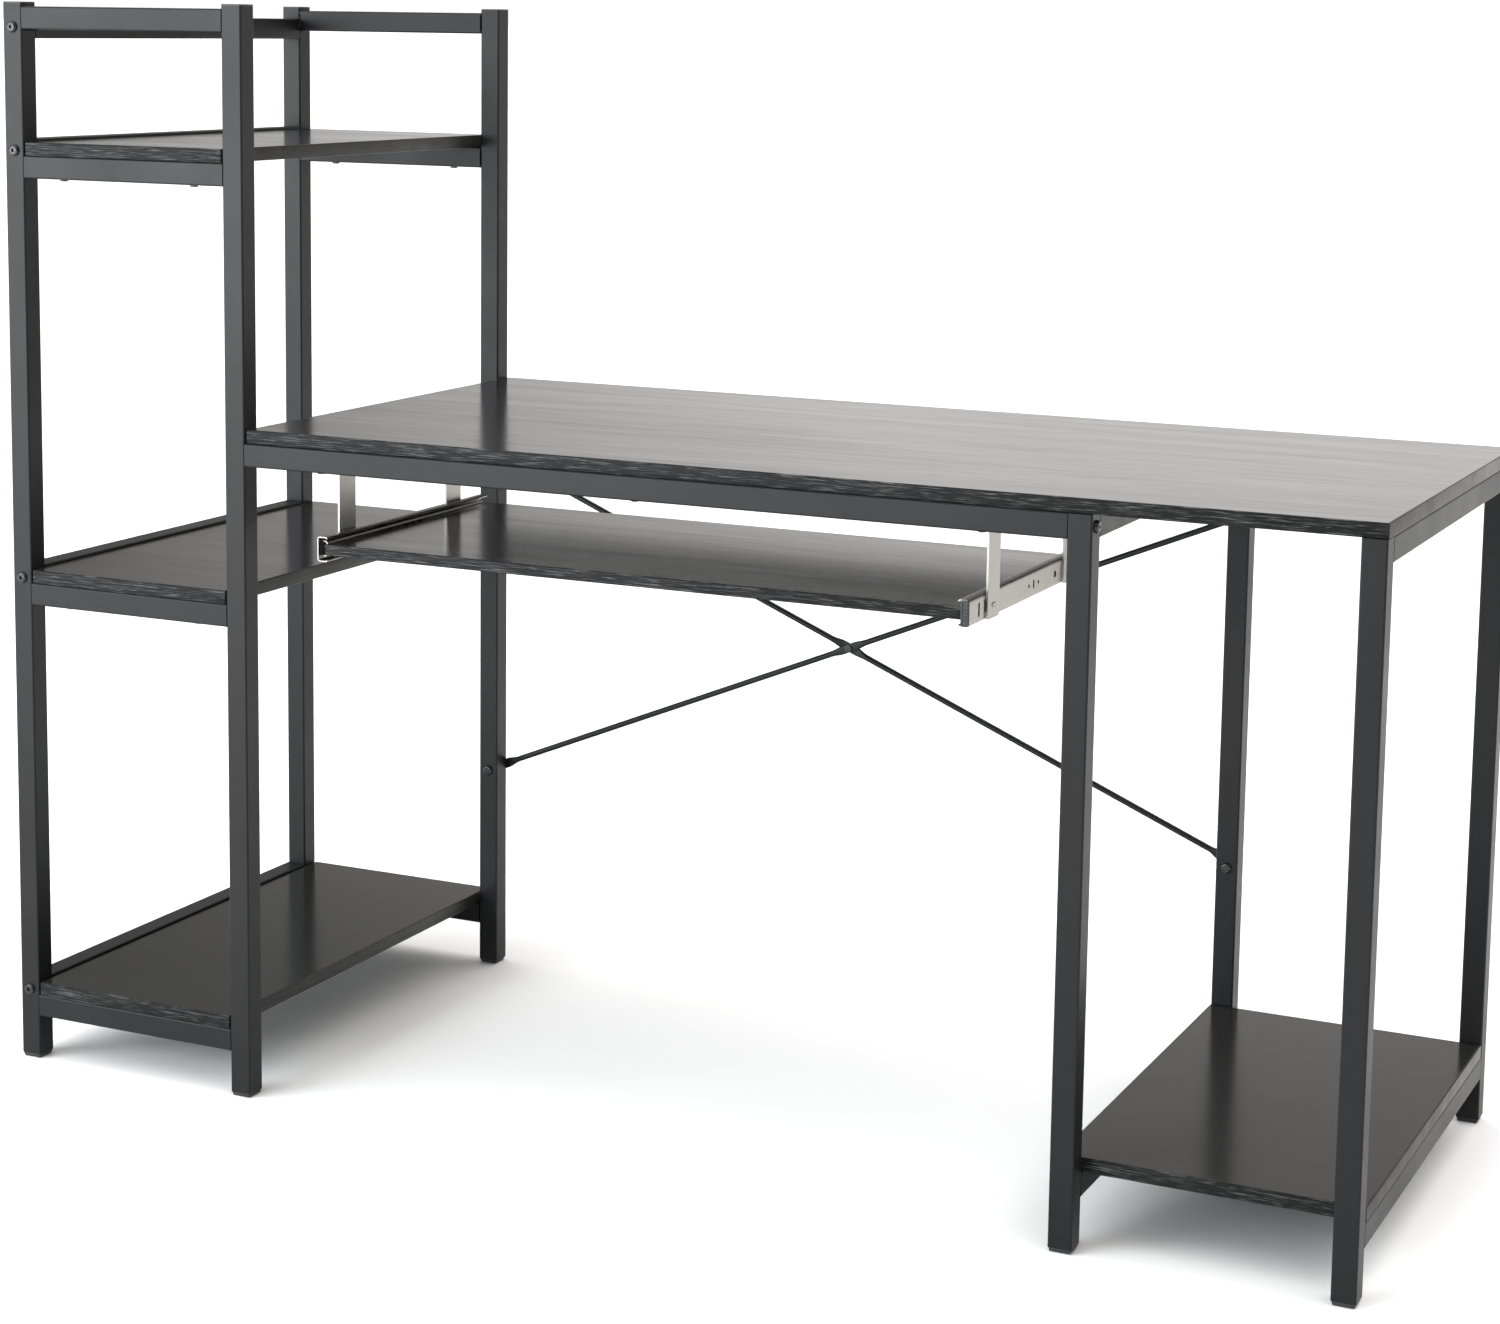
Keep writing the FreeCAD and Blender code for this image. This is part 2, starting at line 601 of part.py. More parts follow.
def brace_fasteners():
    """Bolts through the back posts with nuts behind, and the rivet at the crossing."""
    bolt = shank_and_head("brace_bolt_template", "bolt_radius", "brace_bolt_length",
                          "bolt_head_radius", "bolt_head_height", "bolt_head_round")
    ends = [(x, z) for x in (f"{TOWER_RIGHT} - {HALF_TUBE}", f"{MIDDLE_LEFT} + {HALF_TUBE}")
            for z in ("brace_low", "brace_high")]
    group("brace_bolts", bolt,
          [(x, f"{BACK} - tube_size", z, HEAD["front"]) for x, z in ends])

    nut = new_body("nut_template")
    outline = sketch_on(nut, "XY_Plane")
    polygon(outline, [tuple(f"nut_radius * {part:.6f}" for part in
                            (math.cos(math.radians(60 * i)), math.sin(math.radians(60 * i))))
                      for i in range(6)])
    circle(outline, "0", "0", "bolt_radius + screw_play")
    pad(nut, outline, "nut_height")
    group("brace_nuts", nut, [(x, f"{BACK} + tab_thickness", z, ALONG_Y) for x, z in ends])

    rivet = shank_and_head("brace_rivet", "bolt_radius", "2 * rod_radius",
                           "rivet_head_radius", "rivet_head_height", "rivet_head_height / 2")
    tail = sketch_on(rivet, "XY_Plane")
    circle(tail, "0", "0", "rivet_head_radius")
    bind(tail, "AttachmentOffset.Base.z", "-2 * rod_radius")
    pad(rivet, tail, "rivet_head_height", flip=True)
    place(rivet, f"{TOWER_RIGHT} + knee_width / 2", BACK, "(brace_low + brace_high) / 2",
          HEAD["front"])
    keep(rivet)


# The keyboard tray -----------------------------------------------------------

TRAY_MIDDLE = "(tower_width + knee_width / 2 - overall_width / 2)"
TRAY_FRONT = f"({FRONT} - tray_lead)"
SLIDE_SIDES = (("left", "-", UPRIGHT), ("right", "+", FreeCAD.Rotation(V(0, 1, 0), 180)))
BOARD_EDGE = "((slide_span - tray_width) / 2)"


def channel(body, left, web, right, half_height, wall):
    """A channel section in the XZ plane: a web at the left or right and two lips."""
    section = sketch_on(body, "XZ_Plane")
    inner = f"({half_height} - {wall})"
    polygon(section, [(left, f"-{half_height}"), (right, f"-{half_height}"),
                      (right, f"-{inner}"), (web, f"-{inner}"), (web, inner),
                      (right, inner), (right, half_height), (left, half_height)])
    return section


def outer_slide(side, sign, turn):
    """Fixed channel on the hangers, open towards the tray, with slots and holes."""
    body = new_body(f"slide_outer_{side}")
    section = channel(body, "0", "slide_wall", "slide_depth", "slide_height / 2", "slide_wall")
    rail = pad(body, section, "slide_length", flip=True)
    fillet(body, rail, "slide_round", lambda edge: (
        edge.BoundBox.YLength > SIZES["slide_length"] / 2 and edge.BoundBox.XMax < TOUCH))
    slots = sketch_on(body, "YZ_Plane")
    for start, bottom, top in (("front_slot", "front_slot_half", "front_slot_half"),
                               ("lock_slot", "lock_slot_bottom", "lock_slot_top"),
                               ("rear_slot", "rear_slot_half", "rear_slot_half")):
        rectangle(slots, start, f"-{bottom}", f"{start} + slot_width", top)
    rear_middle = "rear_slot + slot_width / 2"
    for offset, radius in ((f"{rear_middle} - rivet_hole_offset", "rivet_hole_radius"),
                           (f"{rear_middle} + rivet_hole_offset", "rivet_hole_radius"),
                           ("access_hole", "access_hole_radius"), ("end_hole", "end_hole_radius")):
        circle(slots, offset, "0", radius)
    pocket(body, slots, "3 * slide_wall")
    place(body, f"{TRAY_MIDDLE} {sign} slide_span / 2", TRAY_FRONT, "slide_middle", turn)
    return keep(body)


def inner_slide(side, sign, turn):
    """Channel on the tray's edge, open towards the fixed channel."""
    body = new_body(f"slide_inner_{side}")
    outer = f"({BOARD_EDGE} - inner_wall)"
    section = channel(body, BOARD_EDGE, outer, f"({BOARD_EDGE} - inner_reach)",
                      "inner_half_height", "inner_wall")
    pad(body, section, "slide_length - inner_setback - inner_end_gap", flip=True)
    holes = sketch_on(body, "YZ_Plane")
    for offset in tray_screw_places():
        circle(holes, f"{offset} - inner_setback", "0", "screw_radius")
    pocket(body, holes, "2 * slide_depth")
    place(body, f"{TRAY_MIDDLE} {sign} slide_span / 2", f"{TRAY_FRONT} + inner_setback",
          "slide_middle", turn)
    return keep(body)


def ball_cage(side, sign, turn):
    """Strip between the channels whose windows hold the balls."""
    body = new_body(f"ball_cage_{side}")
    section = channel(body, "slide_wall + cage_wall", "slide_wall + 2 * cage_wall",
                      f"{BOARD_EDGE} - cage_play", "cage_half_height", "cage_wall")
    pad(body, section, "cage_length", flip=True)
    windows = sketch_on(body, "XY_Plane")
    for step in BALL_STEPS:
        circle(windows, "ball_depth", f"cage_length / 2 + ball_pitch * {step}",
               "ball_radius + screw_play")
    pocket(body, windows, "2 * slide_height")
    place(body, f"{TRAY_MIDDLE} {sign} slide_span / 2", f"{TRAY_FRONT} + cage_start",
          "slide_middle", turn)
    return keep(body)


def slide_balls():
    """Two rows of balls in each slide."""
    ball = doc.addObject("Part::Sphere", "ball_template")
    bind(ball, "Radius", "ball_radius")
    places = []
    for side in ("-", "+"):
        inward = "+" if side == "-" else "-"
        x = f"{TRAY_MIDDLE} {side} slide_span / 2 {inward} ball_depth"
        for row in ("-", "+"):
            for step in BALL_STEPS:
                y = f"{TRAY_FRONT} + cage_start + cage_length / 2 + ball_pitch * {step}"
                places.append((x, y, f"slide_middle {row} ball_offset", UPRIGHT))
    group("slide_balls", ball, places)


def slide_bumper():
    """Plastic bumper on the front of the right slide's inner channel."""
    body = new_body("slide_bumper")
    plate = sketch_on(body, "XZ_Plane")
    rectangle(plate, "bumper_play", "-bumper_half_height", BOARD_EDGE, "bumper_half_height")
    face = pad(body, plate, "bumper_plate")
    fillet(body, face, "bumper_plate / 2", lambda edge: (
        edge.BoundBox.YMax < TOUCH - SIZES["bumper_plate"]))
    plug = sketch_on(body, "XZ_Plane")
    reach = "(slide_height / 2 - slide_wall - bumper_plug_play)"
    rectangle(plug, "slide_wall + bumper_plug_play", f"-{reach}", BOARD_EDGE, reach)
    pad(body, plug, "inner_setback", flip=True)
    place(body, f"{TRAY_MIDDLE} + slide_span / 2", TRAY_FRONT, "slide_middle",
          FreeCAD.Rotation(V(0, 1, 0), 180))
    return keep(body)


def tray_screw_places():
    """Places of the tray's screws, back from its front edge."""
    return ["tray_screw_inset", "slide_length / 2", "slide_length - tray_screw_inset"]


def tray():
    """The sliding board, with blind screw holes in its two side edges."""
    body = new_body("tray_board")
    outline = sketch_on(body, "XY_Plane")
    rectangle(outline, "-tray_width / 2", "0", "tray_width / 2", "tray_depth")
    slab = pad(body, outline, "tray_thickness")
    fillet(body, slab, "board_round", lambda edge: True)
    for sign, flip in (("", False), ("-", True)):
        holes = sketch_on(body, "YZ_Plane")
        bind(holes, "AttachmentOffset.Base.z", f"{sign}tray_width / 2")
        for offset in tray_screw_places():
            circle(holes, offset, "slide_middle - tray_top + tray_thickness", "screw_radius")
        pocket(body, holes, "tray_screw_bite", side="One side", flip=flip)
    place(body, TRAY_MIDDLE, TRAY_FRONT, "tray_top - tray_thickness")
    return keep(body)


def tray_screws():
    """Screws through the inner channels into the tray's side edges."""
    screw = shank_and_head("tray_screw_template", "hanger_screw_radius",
                           "inner_wall + tray_screw_bite - tip_gap", "small_head_radius",
                           "screw_head_height", "screw_radius / 2")
    edge = f"(slide_span / 2 - {BOARD_EDGE} + inner_wall)"
    places = []
    for sign, head in (("-", "left"), ("+", "right")):
        for offset in tray_screw_places():
            places.append((f"{TRAY_MIDDLE} {sign} {edge}", f"{TRAY_FRONT} + {offset}",
                           "slide_middle", HEAD[head]))
    group("tray_screws", screw, places)


def bracket(row, side, sign, turn):
    """Strip from under the desktop to the slide, with a flange at its top."""
    body = new_body(f"slide_bracket_{row}_{side}")
    height = f"({UNDER_DESKTOP} - slide_middle + slide_height / 2)"
    section = sketch_on(body, "XZ_Plane")
    polygon(section, [("0", "0"), ("0", height), ("-bracket_flange", height),
                      ("-bracket_flange", f"{height} - bracket_wall"),
                      ("-bracket_wall", f"{height} - bracket_wall"), ("-bracket_wall", "0")])
    pad(body, section, "bracket_width", side="Symmetric")
    clinch = sketch_on(body, "YZ_Plane")
    rectangle(clinch, "-clinch_front", "slide_height / 2 - clinch_drop",
              "clinch_back", "slide_height / 2 + clinch_rise")
    pad(body, clinch, "bracket_wall + clinch_proud", flip=True)
    holes = sketch_on(body, "XY_Plane")
    for step in ("-", ""):
        circle(holes, "-(bracket_flange + bracket_wall) / 2", f"{step}hanger_screw_inset",
               "hanger_screw_radius + screw_play")
    pocket(body, holes, f"2 * {height} + 2 * bracket_wall")
    place(body, f"{TRAY_MIDDLE} {sign} slide_span / 2", f"{FRONT} + bracket_{row}",
          "slide_middle - slide_height / 2", turn)
    return keep(body)


def hanger_screw_group():
    """Screws up through the brackets' flanges into the desktop."""
    screw = shank_and_head("hanger_screw_template", "hanger_screw_radius",
                           "bracket_wall + hanger_screw_bite - tip_gap", "small_head_radius",
                           "screw_head_height", "screw_radius / 2")
    under = f"{UNDER_DESKTOP} - bracket_wall"
    group("hanger_screws", screw, [(x, y, under, HEAD["down"]) for x, y in hanger_screws()])


def keyboard_tray():
    tray()
    for side, sign, turn in SLIDE_SIDES:
        outer_slide(side, sign, turn)
        inner_slide(side, sign, turn)
        ball_cage(side, sign, turn)
    slide_balls()
    slide_bumper()
    tray_screws()
    for row in ("front", "back"):
        bracket(row, "left", "-", UPRIGHT)
        bracket(row, "right", "+", FreeCAD.Rotation(V(0, 0, 1), 180))
    hanger_screw_group()


def export():
    """Checks every object of the document, then writes one file for each sub-part."""
    doc.recompute()
    for item in doc.Objects:
        if {"Invalid", "Error"} & set(item.State):
            raise RuntimeError(f"{item.Label} did not recompute: {item.State}")
    for item in sub_parts:
        if item.Shape.isNull() or not item.Shape.isValid():
            raise RuntimeError(f"{item.Label} has no valid shape")
    os.makedirs("parts", exist_ok=True)
    for item in sub_parts:
        item.Shape.exportStep(f"parts/{item.Label}.step")
    print(f"{len(sub_parts)} sub-parts written")


make_sheet()
tower_posts()
tower_rails()
tower_shelves()
desk_frames()
desk_rails()
desk_boards()
caps_and_glides()
frame_bolts()
rail_nut_plates()
board_screws()
brace_rod("brace_rod_rising", rising=True)
brace_rod("brace_rod_falling", rising=False)
brace_fasteners()
keyboard_tray()
export()
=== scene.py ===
"""Looks of a computer desk with a shelf tower and a sliding keyboard tray.

Laid out as an add-on: each group of like pieces has its operator, listed in a sidebar panel.
Metres. X runs along the desk from the tower, Y from front to back, Z up.
"""

import json
import math

import bmesh
import bpy
from mathutils import Euler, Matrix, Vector

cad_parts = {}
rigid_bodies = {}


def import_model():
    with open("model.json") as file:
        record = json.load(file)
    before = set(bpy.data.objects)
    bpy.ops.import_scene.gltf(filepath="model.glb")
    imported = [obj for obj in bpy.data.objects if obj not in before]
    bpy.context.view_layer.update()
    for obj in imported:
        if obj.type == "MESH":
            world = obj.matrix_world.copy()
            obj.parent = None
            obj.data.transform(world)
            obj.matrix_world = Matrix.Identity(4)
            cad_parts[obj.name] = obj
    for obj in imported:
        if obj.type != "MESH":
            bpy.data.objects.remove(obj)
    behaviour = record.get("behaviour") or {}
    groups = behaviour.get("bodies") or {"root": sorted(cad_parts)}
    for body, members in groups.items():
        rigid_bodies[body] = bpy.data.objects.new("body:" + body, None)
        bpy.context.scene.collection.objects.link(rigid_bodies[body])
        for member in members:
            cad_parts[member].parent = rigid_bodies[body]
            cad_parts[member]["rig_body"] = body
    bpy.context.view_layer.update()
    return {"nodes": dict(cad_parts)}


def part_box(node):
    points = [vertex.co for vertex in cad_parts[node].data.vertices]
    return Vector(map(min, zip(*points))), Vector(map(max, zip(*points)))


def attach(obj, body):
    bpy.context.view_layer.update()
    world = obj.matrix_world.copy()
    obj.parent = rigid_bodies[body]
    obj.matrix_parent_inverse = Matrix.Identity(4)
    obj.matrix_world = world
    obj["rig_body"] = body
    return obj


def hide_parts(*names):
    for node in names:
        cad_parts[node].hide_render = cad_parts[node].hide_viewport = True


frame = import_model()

bl_info = {
    "name": "Computer Desk Looks",
    "version": (1, 0, 0),
    "blender": (4, 5, 0),
    "location": "3D Viewport > Sidebar > Desk",
    "description": "Builds the finishes, boards, brace, slides and welds of a computer desk",
    "category": "Add Mesh",
}

MM = 0.001
BOARDS = ["desktop", "low_shelf", "tower_shelf_lower", "tower_shelf_middle",
          "tower_shelf_upper", "tray_board"]
SIDES = {"left": -1, "right": 1}
SMOOTH_ANGLE = 35           # degrees: sharper edges stay hard
CROWN_ANGLE = 50            # the same for crowned plastic
BEAD_ANGLE = 70             # the same for welds
BEVEL_ANGLE = 40            # degrees: soften() rounds sharper edges
SMALLEST_ROUND = 0.05 * MM


# Settings ---------------------------------------------------------------------

class DeskFinishes(bpy.types.PropertyGroup):
    """Colours and textures of the desk's finishes"""
    coat_color: bpy.props.FloatVectorProperty(
        name="Powder Coat", description="Colour of the coated steel tubes",
        subtype="COLOR", size=3, min=0, max=1, default=(0.0062, 0.0065, 0.0071))
    coat_roughness: bpy.props.FloatProperty(
        name="Coat Roughness", description="Mean roughness of the powder coat",
        subtype="FACTOR", min=0, max=1, default=0.40)
    wood_dark: bpy.props.FloatVectorProperty(
        name="Laminate Ground", description="Darkest colour between the wood grain",
        subtype="COLOR", size=3, min=0, max=1, default=(0.006, 0.006, 0.0062))
    wood_light: bpy.props.FloatVectorProperty(
        name="Laminate Grain", description="Lightest colour of the wood grain",
        subtype="COLOR", size=3, min=0, max=1, default=(0.024, 0.023, 0.022))
    wood_roughness: bpy.props.FloatProperty(
        name="Laminate Roughness", description="Mean roughness of the laminate",
        subtype="FACTOR", min=0, max=1, default=0.17)
    band_light: bpy.props.FloatVectorProperty(
        name="Edge Band Grain", description="Lightest colour of the embossed edge band",
        subtype="COLOR", size=3, min=0, max=1, default=(0.075, 0.078, 0.076))
    zinc_color: bpy.props.FloatVectorProperty(
        name="Zinc", description="Colour of the zinc-plated slides and brackets",
        subtype="COLOR", size=3, min=0, max=1, default=(0.33, 0.315, 0.295))
    bolt_color: bpy.props.FloatVectorProperty(
        name="Bolts", description="Colour of the black oxide bolts",
        subtype="COLOR", size=3, min=0, max=1, default=(0.022, 0.022, 0.024))
    plastic_color: bpy.props.FloatVectorProperty(
        name="Plastic", description="Colour of the caps, glides and bumper",
        subtype="COLOR", size=3, min=0, max=1, default=(0.014, 0.014, 0.015))


class DeskDetails(bpy.types.PropertyGroup):
    """Sizes of the details built on the desk's frame"""
    board_round: bpy.props.FloatProperty(
        name="Board Edge Round", description="Radius of the boards' long edges",
        subtype="DISTANCE", unit="LENGTH", min=0, default=0.9 * MM)
    band_width: bpy.props.FloatProperty(
        name="Band Seam",
        description="Distance of the seam between laminate and band from the edge",
        subtype="DISTANCE", unit="LENGTH", min=0, default=1.1 * MM)
    weld_radius: bpy.props.FloatProperty(
        name="Weld Radius", description="Size of the fillet welds at the frames' joints",
        subtype="DISTANCE", unit="LENGTH", min=0, default=1.5 * MM)
    bracket_bend: bpy.props.FloatProperty(
        name="Bracket Bend", description="Inner bend radius of the tray brackets",
        subtype="DISTANCE", unit="LENGTH", min=0, default=1.8 * MM)


class DeskStudio(bpy.types.PropertyGroup):
    """Camera and light of the studio"""
    camera_place: bpy.props.FloatVectorProperty(
        name="Camera Place", description="Where the camera stands",
        subtype="XYZ", unit="LENGTH", size=3, default=(1.3977, -2.9944, 1.1882))
    camera_turn: bpy.props.FloatProperty(
        name="Camera Turn", description="Turn of the camera towards the tower, from straight back",
        subtype="ANGLE", unit="ROTATION", default=math.radians(24.97))
    camera_dip: bpy.props.FloatProperty(
        name="Camera Dip", description="How far the camera looks down",
        subtype="ANGLE", unit="ROTATION", default=math.radians(7.75))
    camera_roll: bpy.props.FloatProperty(
        name="Camera Roll", description="Roll of the camera about its own axis",
        subtype="ANGLE", unit="ROTATION", default=math.radians(0.79))
    camera_lens: bpy.props.FloatProperty(
        name="Lens", description="Focal length in millimetres on a 36 mm wide sensor",
        subtype="DISTANCE_CAMERA", min=1, default=73.1)
    camera_rise: bpy.props.FloatProperty(
        name="Lens Shift", description="Vertical lens shift that keeps the posts upright",
        default=-0.15)
    floor_color: bpy.props.FloatVectorProperty(
        name="Floor", description="Colour of the studio floor",
        subtype="COLOR", size=3, min=0, max=1, default=(0.97, 0.97, 0.97))
    sky_level: bpy.props.FloatProperty(
        name="Ambient Light", description="Strength of the light from all round",
        min=0, default=1.0)


# Node materials ---------------------------------------------------------------

FULL = (0.0, 1.0)
NOISE_SPREAD = (0.3, 0.7)   # where most of a noise's values lie
GRAIN_SPREAD = (0.36, 0.64)
COAT_IOR = 1.31
LAMINATE_IOR = 1.5
EMBOSSED_BAND_IOR = 1.22
PLAIN_BAND_IOR = 1.36
BOLT_METAL = 0.55           # the oxide hides about half of the steel


def new_material(name):
    """A new material with a Principled shader: (material, node tree, shader)."""
    material = bpy.data.materials.new(name)
    material.use_nodes = True
    tree = material.node_tree
    tree.nodes.clear()
    output = tree.nodes.new("ShaderNodeOutputMaterial")
    shader = tree.nodes.new("ShaderNodeBsdfPrincipled")
    tree.links.new(shader.outputs["BSDF"], output.inputs["Surface"])
    return material, tree, shader


def object_coordinates(tree):
    """The object's own coordinates, in metres."""
    return tree.nodes.new("ShaderNodeTexCoord").outputs["Object"]


def band_coordinates(tree):
    """Coordinates on a board's edge, in metres: U along it, V up."""
    return tree.nodes.new("ShaderNodeUVMap").outputs["UV"]


def stretched(tree, source, scale):
    """Coordinates from a source socket, scaled along each axis."""
    mapping = tree.nodes.new("ShaderNodeMapping")
    mapping.inputs["Scale"].default_value = scale
    tree.links.new(source, mapping.inputs["Vector"])
    return mapping.outputs["Vector"]


def noise_value(tree, vector, scale=1.0, detail=3.0, roughness=0.5, distortion=0.0):
    """Noise at the coordinates of a socket."""
    node = tree.nodes.new("ShaderNodeTexNoise")
    node.inputs["Scale"].default_value = scale
    node.inputs["Detail"].default_value = detail
    node.inputs["Roughness"].default_value = roughness
    node.inputs["Distortion"].default_value = distortion
    tree.links.new(vector, node.inputs["Vector"])
    return node.outputs["Fac"]


def ranged(tree, value, taken, given):
    """A value moved from one (low, high) range to another, clamped."""
    node = tree.nodes.new("ShaderNodeMapRange")
    for name, number in zip(("From Min", "From Max", "To Min", "To Max"), (*taken, *given)):
        node.inputs[name].default_value = number
    tree.links.new(value, node.inputs["Value"])
    return node.outputs["Result"]


def combined(tree, operation, first, second):
    """Math on two sockets, or on a socket and a number."""
    node = tree.nodes.new("ShaderNodeMath")
    node.operation = operation
    for socket, item in zip(node.inputs, (first, second)):
        if isinstance(item, (int, float)):
            socket.default_value = item
        else:
            tree.links.new(item, socket)
    return node.outputs["Value"]


def weighted_sum(tree, rows):
    """Sum of (socket, weight) rows."""
    total = None
    for value, weight in rows:
        part = combined(tree, "MULTIPLY", value, weight)
        total = part if total is None else combined(tree, "ADD", total, part)
    return total


def colored(tree, value, low_color, high_color):
    """Two colours mixed by a value."""
    node = tree.nodes.new("ShaderNodeMix")
    node.data_type = "RGBA"
    node.inputs["A"].default_value = (*low_color, 1)
    node.inputs["B"].default_value = (*high_color, 1)
    tree.links.new(value, node.inputs["Factor"])
    return next(s for s in node.outputs if s.type == "RGBA")


def shaded(tree, value, color, darkest, lightest):
    """Shades of one colour mixed by a value, from its darkest to its lightest factor."""
    low, high = ([min(1.0, channel * factor) for channel in color]
                 for factor in (darkest, lightest))
    return colored(tree, value, low, high)


def lay_finish(tree, shader, color, roughness):
    """Gives the shader a colour and a roughness that vary over the surface."""
    tree.links.new(color, shader.inputs["Base Color"])
    tree.links.new(roughness, shader.inputs["Roughness"])


def bumped(tree, shader, heights):
    """Bump from (height socket, strength, distance) rows, each on top of the one before."""
    normal = None
    for height, strength, distance in heights:
        node = tree.nodes.new("ShaderNodeBump")
        node.inputs["Strength"].default_value = strength
        node.inputs["Distance"].default_value = distance
        tree.links.new(height, node.inputs["Height"])
        if normal is not None:
            tree.links.new(normal, node.inputs["Normal"])
        normal = node.outputs["Normal"]
    tree.links.new(normal, shader.inputs["Normal"])


def powder_coat(finishes):
    """Satin black powder coat: orange peel, cloudy gloss and a few rubbed patches."""
    material, tree, shader = new_material("satin_powder_coat")
    place = object_coordinates(tree)
    cloud = noise_value(tree, place, scale=9.0, detail=4.0)
    speckle = noise_value(tree, place, scale=700.0, detail=2.0)
    patches = noise_value(tree, place, scale=21.0, detail=6.0, roughness=0.65)
    rubbed = ranged(tree, patches, (0.62, 0.70), FULL)
    tone = weighted_sum(tree, [(cloud, 0.6), (speckle, 0.4), (rubbed, 0.25)])
    color = shaded(tree, ranged(tree, tone, (0.3, 0.8), FULL), finishes.coat_color, 0.78, 1.35)
    mean = finishes.coat_roughness
    gloss = ranged(tree, cloud, NOISE_SPREAD, (mean - 0.05, mean + 0.05))
    gloss = combined(tree, "SUBTRACT", gloss, combined(tree, "MULTIPLY", rubbed, 0.07))
    lay_finish(tree, shader, color, gloss)
    shader.inputs["IOR"].default_value = COAT_IOR
    peel = noise_value(tree, place, scale=420.0, detail=2.0)
    grit = noise_value(tree, place, scale=1700.0, detail=1.0)
    bumped(tree, shader, [(peel, 0.10, 0.15 * MM), (grit, 0.10, 0.05 * MM)])
    return material


def laminate(finishes):
    """Black wood-grain laminate: long grain lines along X over broad figure, with fine pores."""
    material, tree, shader = new_material("black_wood_laminate")
    place = object_coordinates(tree)
    figure = noise_value(tree, stretched(tree, place, (1.6, 16.0, 16.0)), detail=4.0, distortion=1.2)
    lines = noise_value(tree, stretched(tree, place, (7.0, 330.0, 330.0)), detail=5.0, roughness=0.62)
    pores = noise_value(tree, stretched(tree, place, (45.0, 1500.0, 1500.0)), detail=2.0)
    grain = weighted_sum(tree, [(lines, 0.45), (pores, 0.25), (figure, 0.30)])
    color = colored(tree, ranged(tree, grain, GRAIN_SPREAD, FULL),
                    finishes.wood_dark, finishes.wood_light)
    mean = finishes.wood_roughness
    lay_finish(tree, shader, color, ranged(tree, grain, GRAIN_SPREAD, (mean + 0.06, mean - 0.05)))
    shader.inputs["IOR"].default_value = LAMINATE_IOR
    bumped(tree, shader, [(lines, 0.16, 0.12 * MM), (pores, 0.14, 0.05 * MM)])
    return material


def edge_band(finishes):
    """Plastic band of the boards' long edges, embossed with heavy wavy grain along its length."""
    material, tree, shader = new_material("embossed_edge_band")
    along = band_coordinates(tree)
    wave = noise_value(tree, stretched(tree, along, (28.0, 850.0, 1.0)),
                       detail=4.0, roughness=0.6, distortion=0.6)
    ridge = noise_value(tree, stretched(tree, along, (60.0, 1500.0, 1.0)), detail=2.0)
    grain = weighted_sum(tree, [(wave, 0.72), (ridge, 0.28)])
    color = colored(tree, ranged(tree, grain, (0.52, 0.62), FULL),
                    finishes.wood_dark, finishes.band_light)
    lay_finish(tree, shader, color, ranged(tree, grain, (0.40, 0.62), (0.52, 0.34)))
    shader.inputs["IOR"].default_value = EMBOSSED_BAND_IOR
    bumped(tree, shader, [(wave, 0.8, 0.5 * MM), (ridge, 0.4, 0.15 * MM)])
    return material


def plain_band(finishes):
    """Smooth plastic band of the boards' ends, with only a faint drawn grain."""
    material, tree, shader = new_material("plain_edge_band")
    drawn = noise_value(tree, stretched(tree, band_coordinates(tree), (18.0, 900.0, 1.0)), detail=3.0)
    cloud = noise_value(tree, object_coordinates(tree), scale=30.0, detail=3.0)
    color = colored(tree, ranged(tree, drawn, (0.35, 0.70), FULL),
                    finishes.wood_dark, finishes.wood_light)
    lay_finish(tree, shader, color, ranged(tree, cloud, NOISE_SPREAD, (0.34, 0.44)))
    shader.inputs["IOR"].default_value = PLAIN_BAND_IOR
    bumped(tree, shader, [(drawn, 0.12, 0.06 * MM)])
    return material


def zinc(finishes):
    """Bright zinc plate on rolled strip, with rolling lines along Y and dull spangle."""
    material, tree, shader = new_material("zinc_plated_strip")
    place = object_coordinates(tree)
    rolled = noise_value(tree, stretched(tree, place, (900.0, 14.0, 900.0)), detail=3.0)
    spangle = noise_value(tree, place, scale=160.0, detail=4.0)
    color = shaded(tree, ranged(tree, spangle, NOISE_SPREAD, FULL), finishes.zinc_color, 0.92, 1.08)
    gloss = combined(tree, "ADD", ranged(tree, spangle, NOISE_SPREAD, (0.24, 0.33)),
                     combined(tree, "MULTIPLY", rolled, 0.08))
    lay_finish(tree, shader, color, gloss)
    shader.inputs["Metallic"].default_value = 1.0
    bumped(tree, shader, [(rolled, 0.10, 0.05 * MM), (spangle, 0.03, 0.08 * MM)])
    return material


def black_oxide(finishes):
    """Black oxide steel of the bolts: glossy, with tool marks and worn highlights."""
    material, tree, shader = new_material("black_oxide_steel")
    worn = noise_value(tree, object_coordinates(tree), scale=900.0, detail=4.0)
    color = shaded(tree, ranged(tree, worn, (0.35, 0.75), FULL), finishes.bolt_color, 0.7, 2.2)
    lay_finish(tree, shader, color, ranged(tree, worn, NOISE_SPREAD, (0.10, 0.22)))
    shader.inputs["Metallic"].default_value = BOLT_METAL
    bumped(tree, shader, [(worn, 0.15, 0.04 * MM)])
    return material


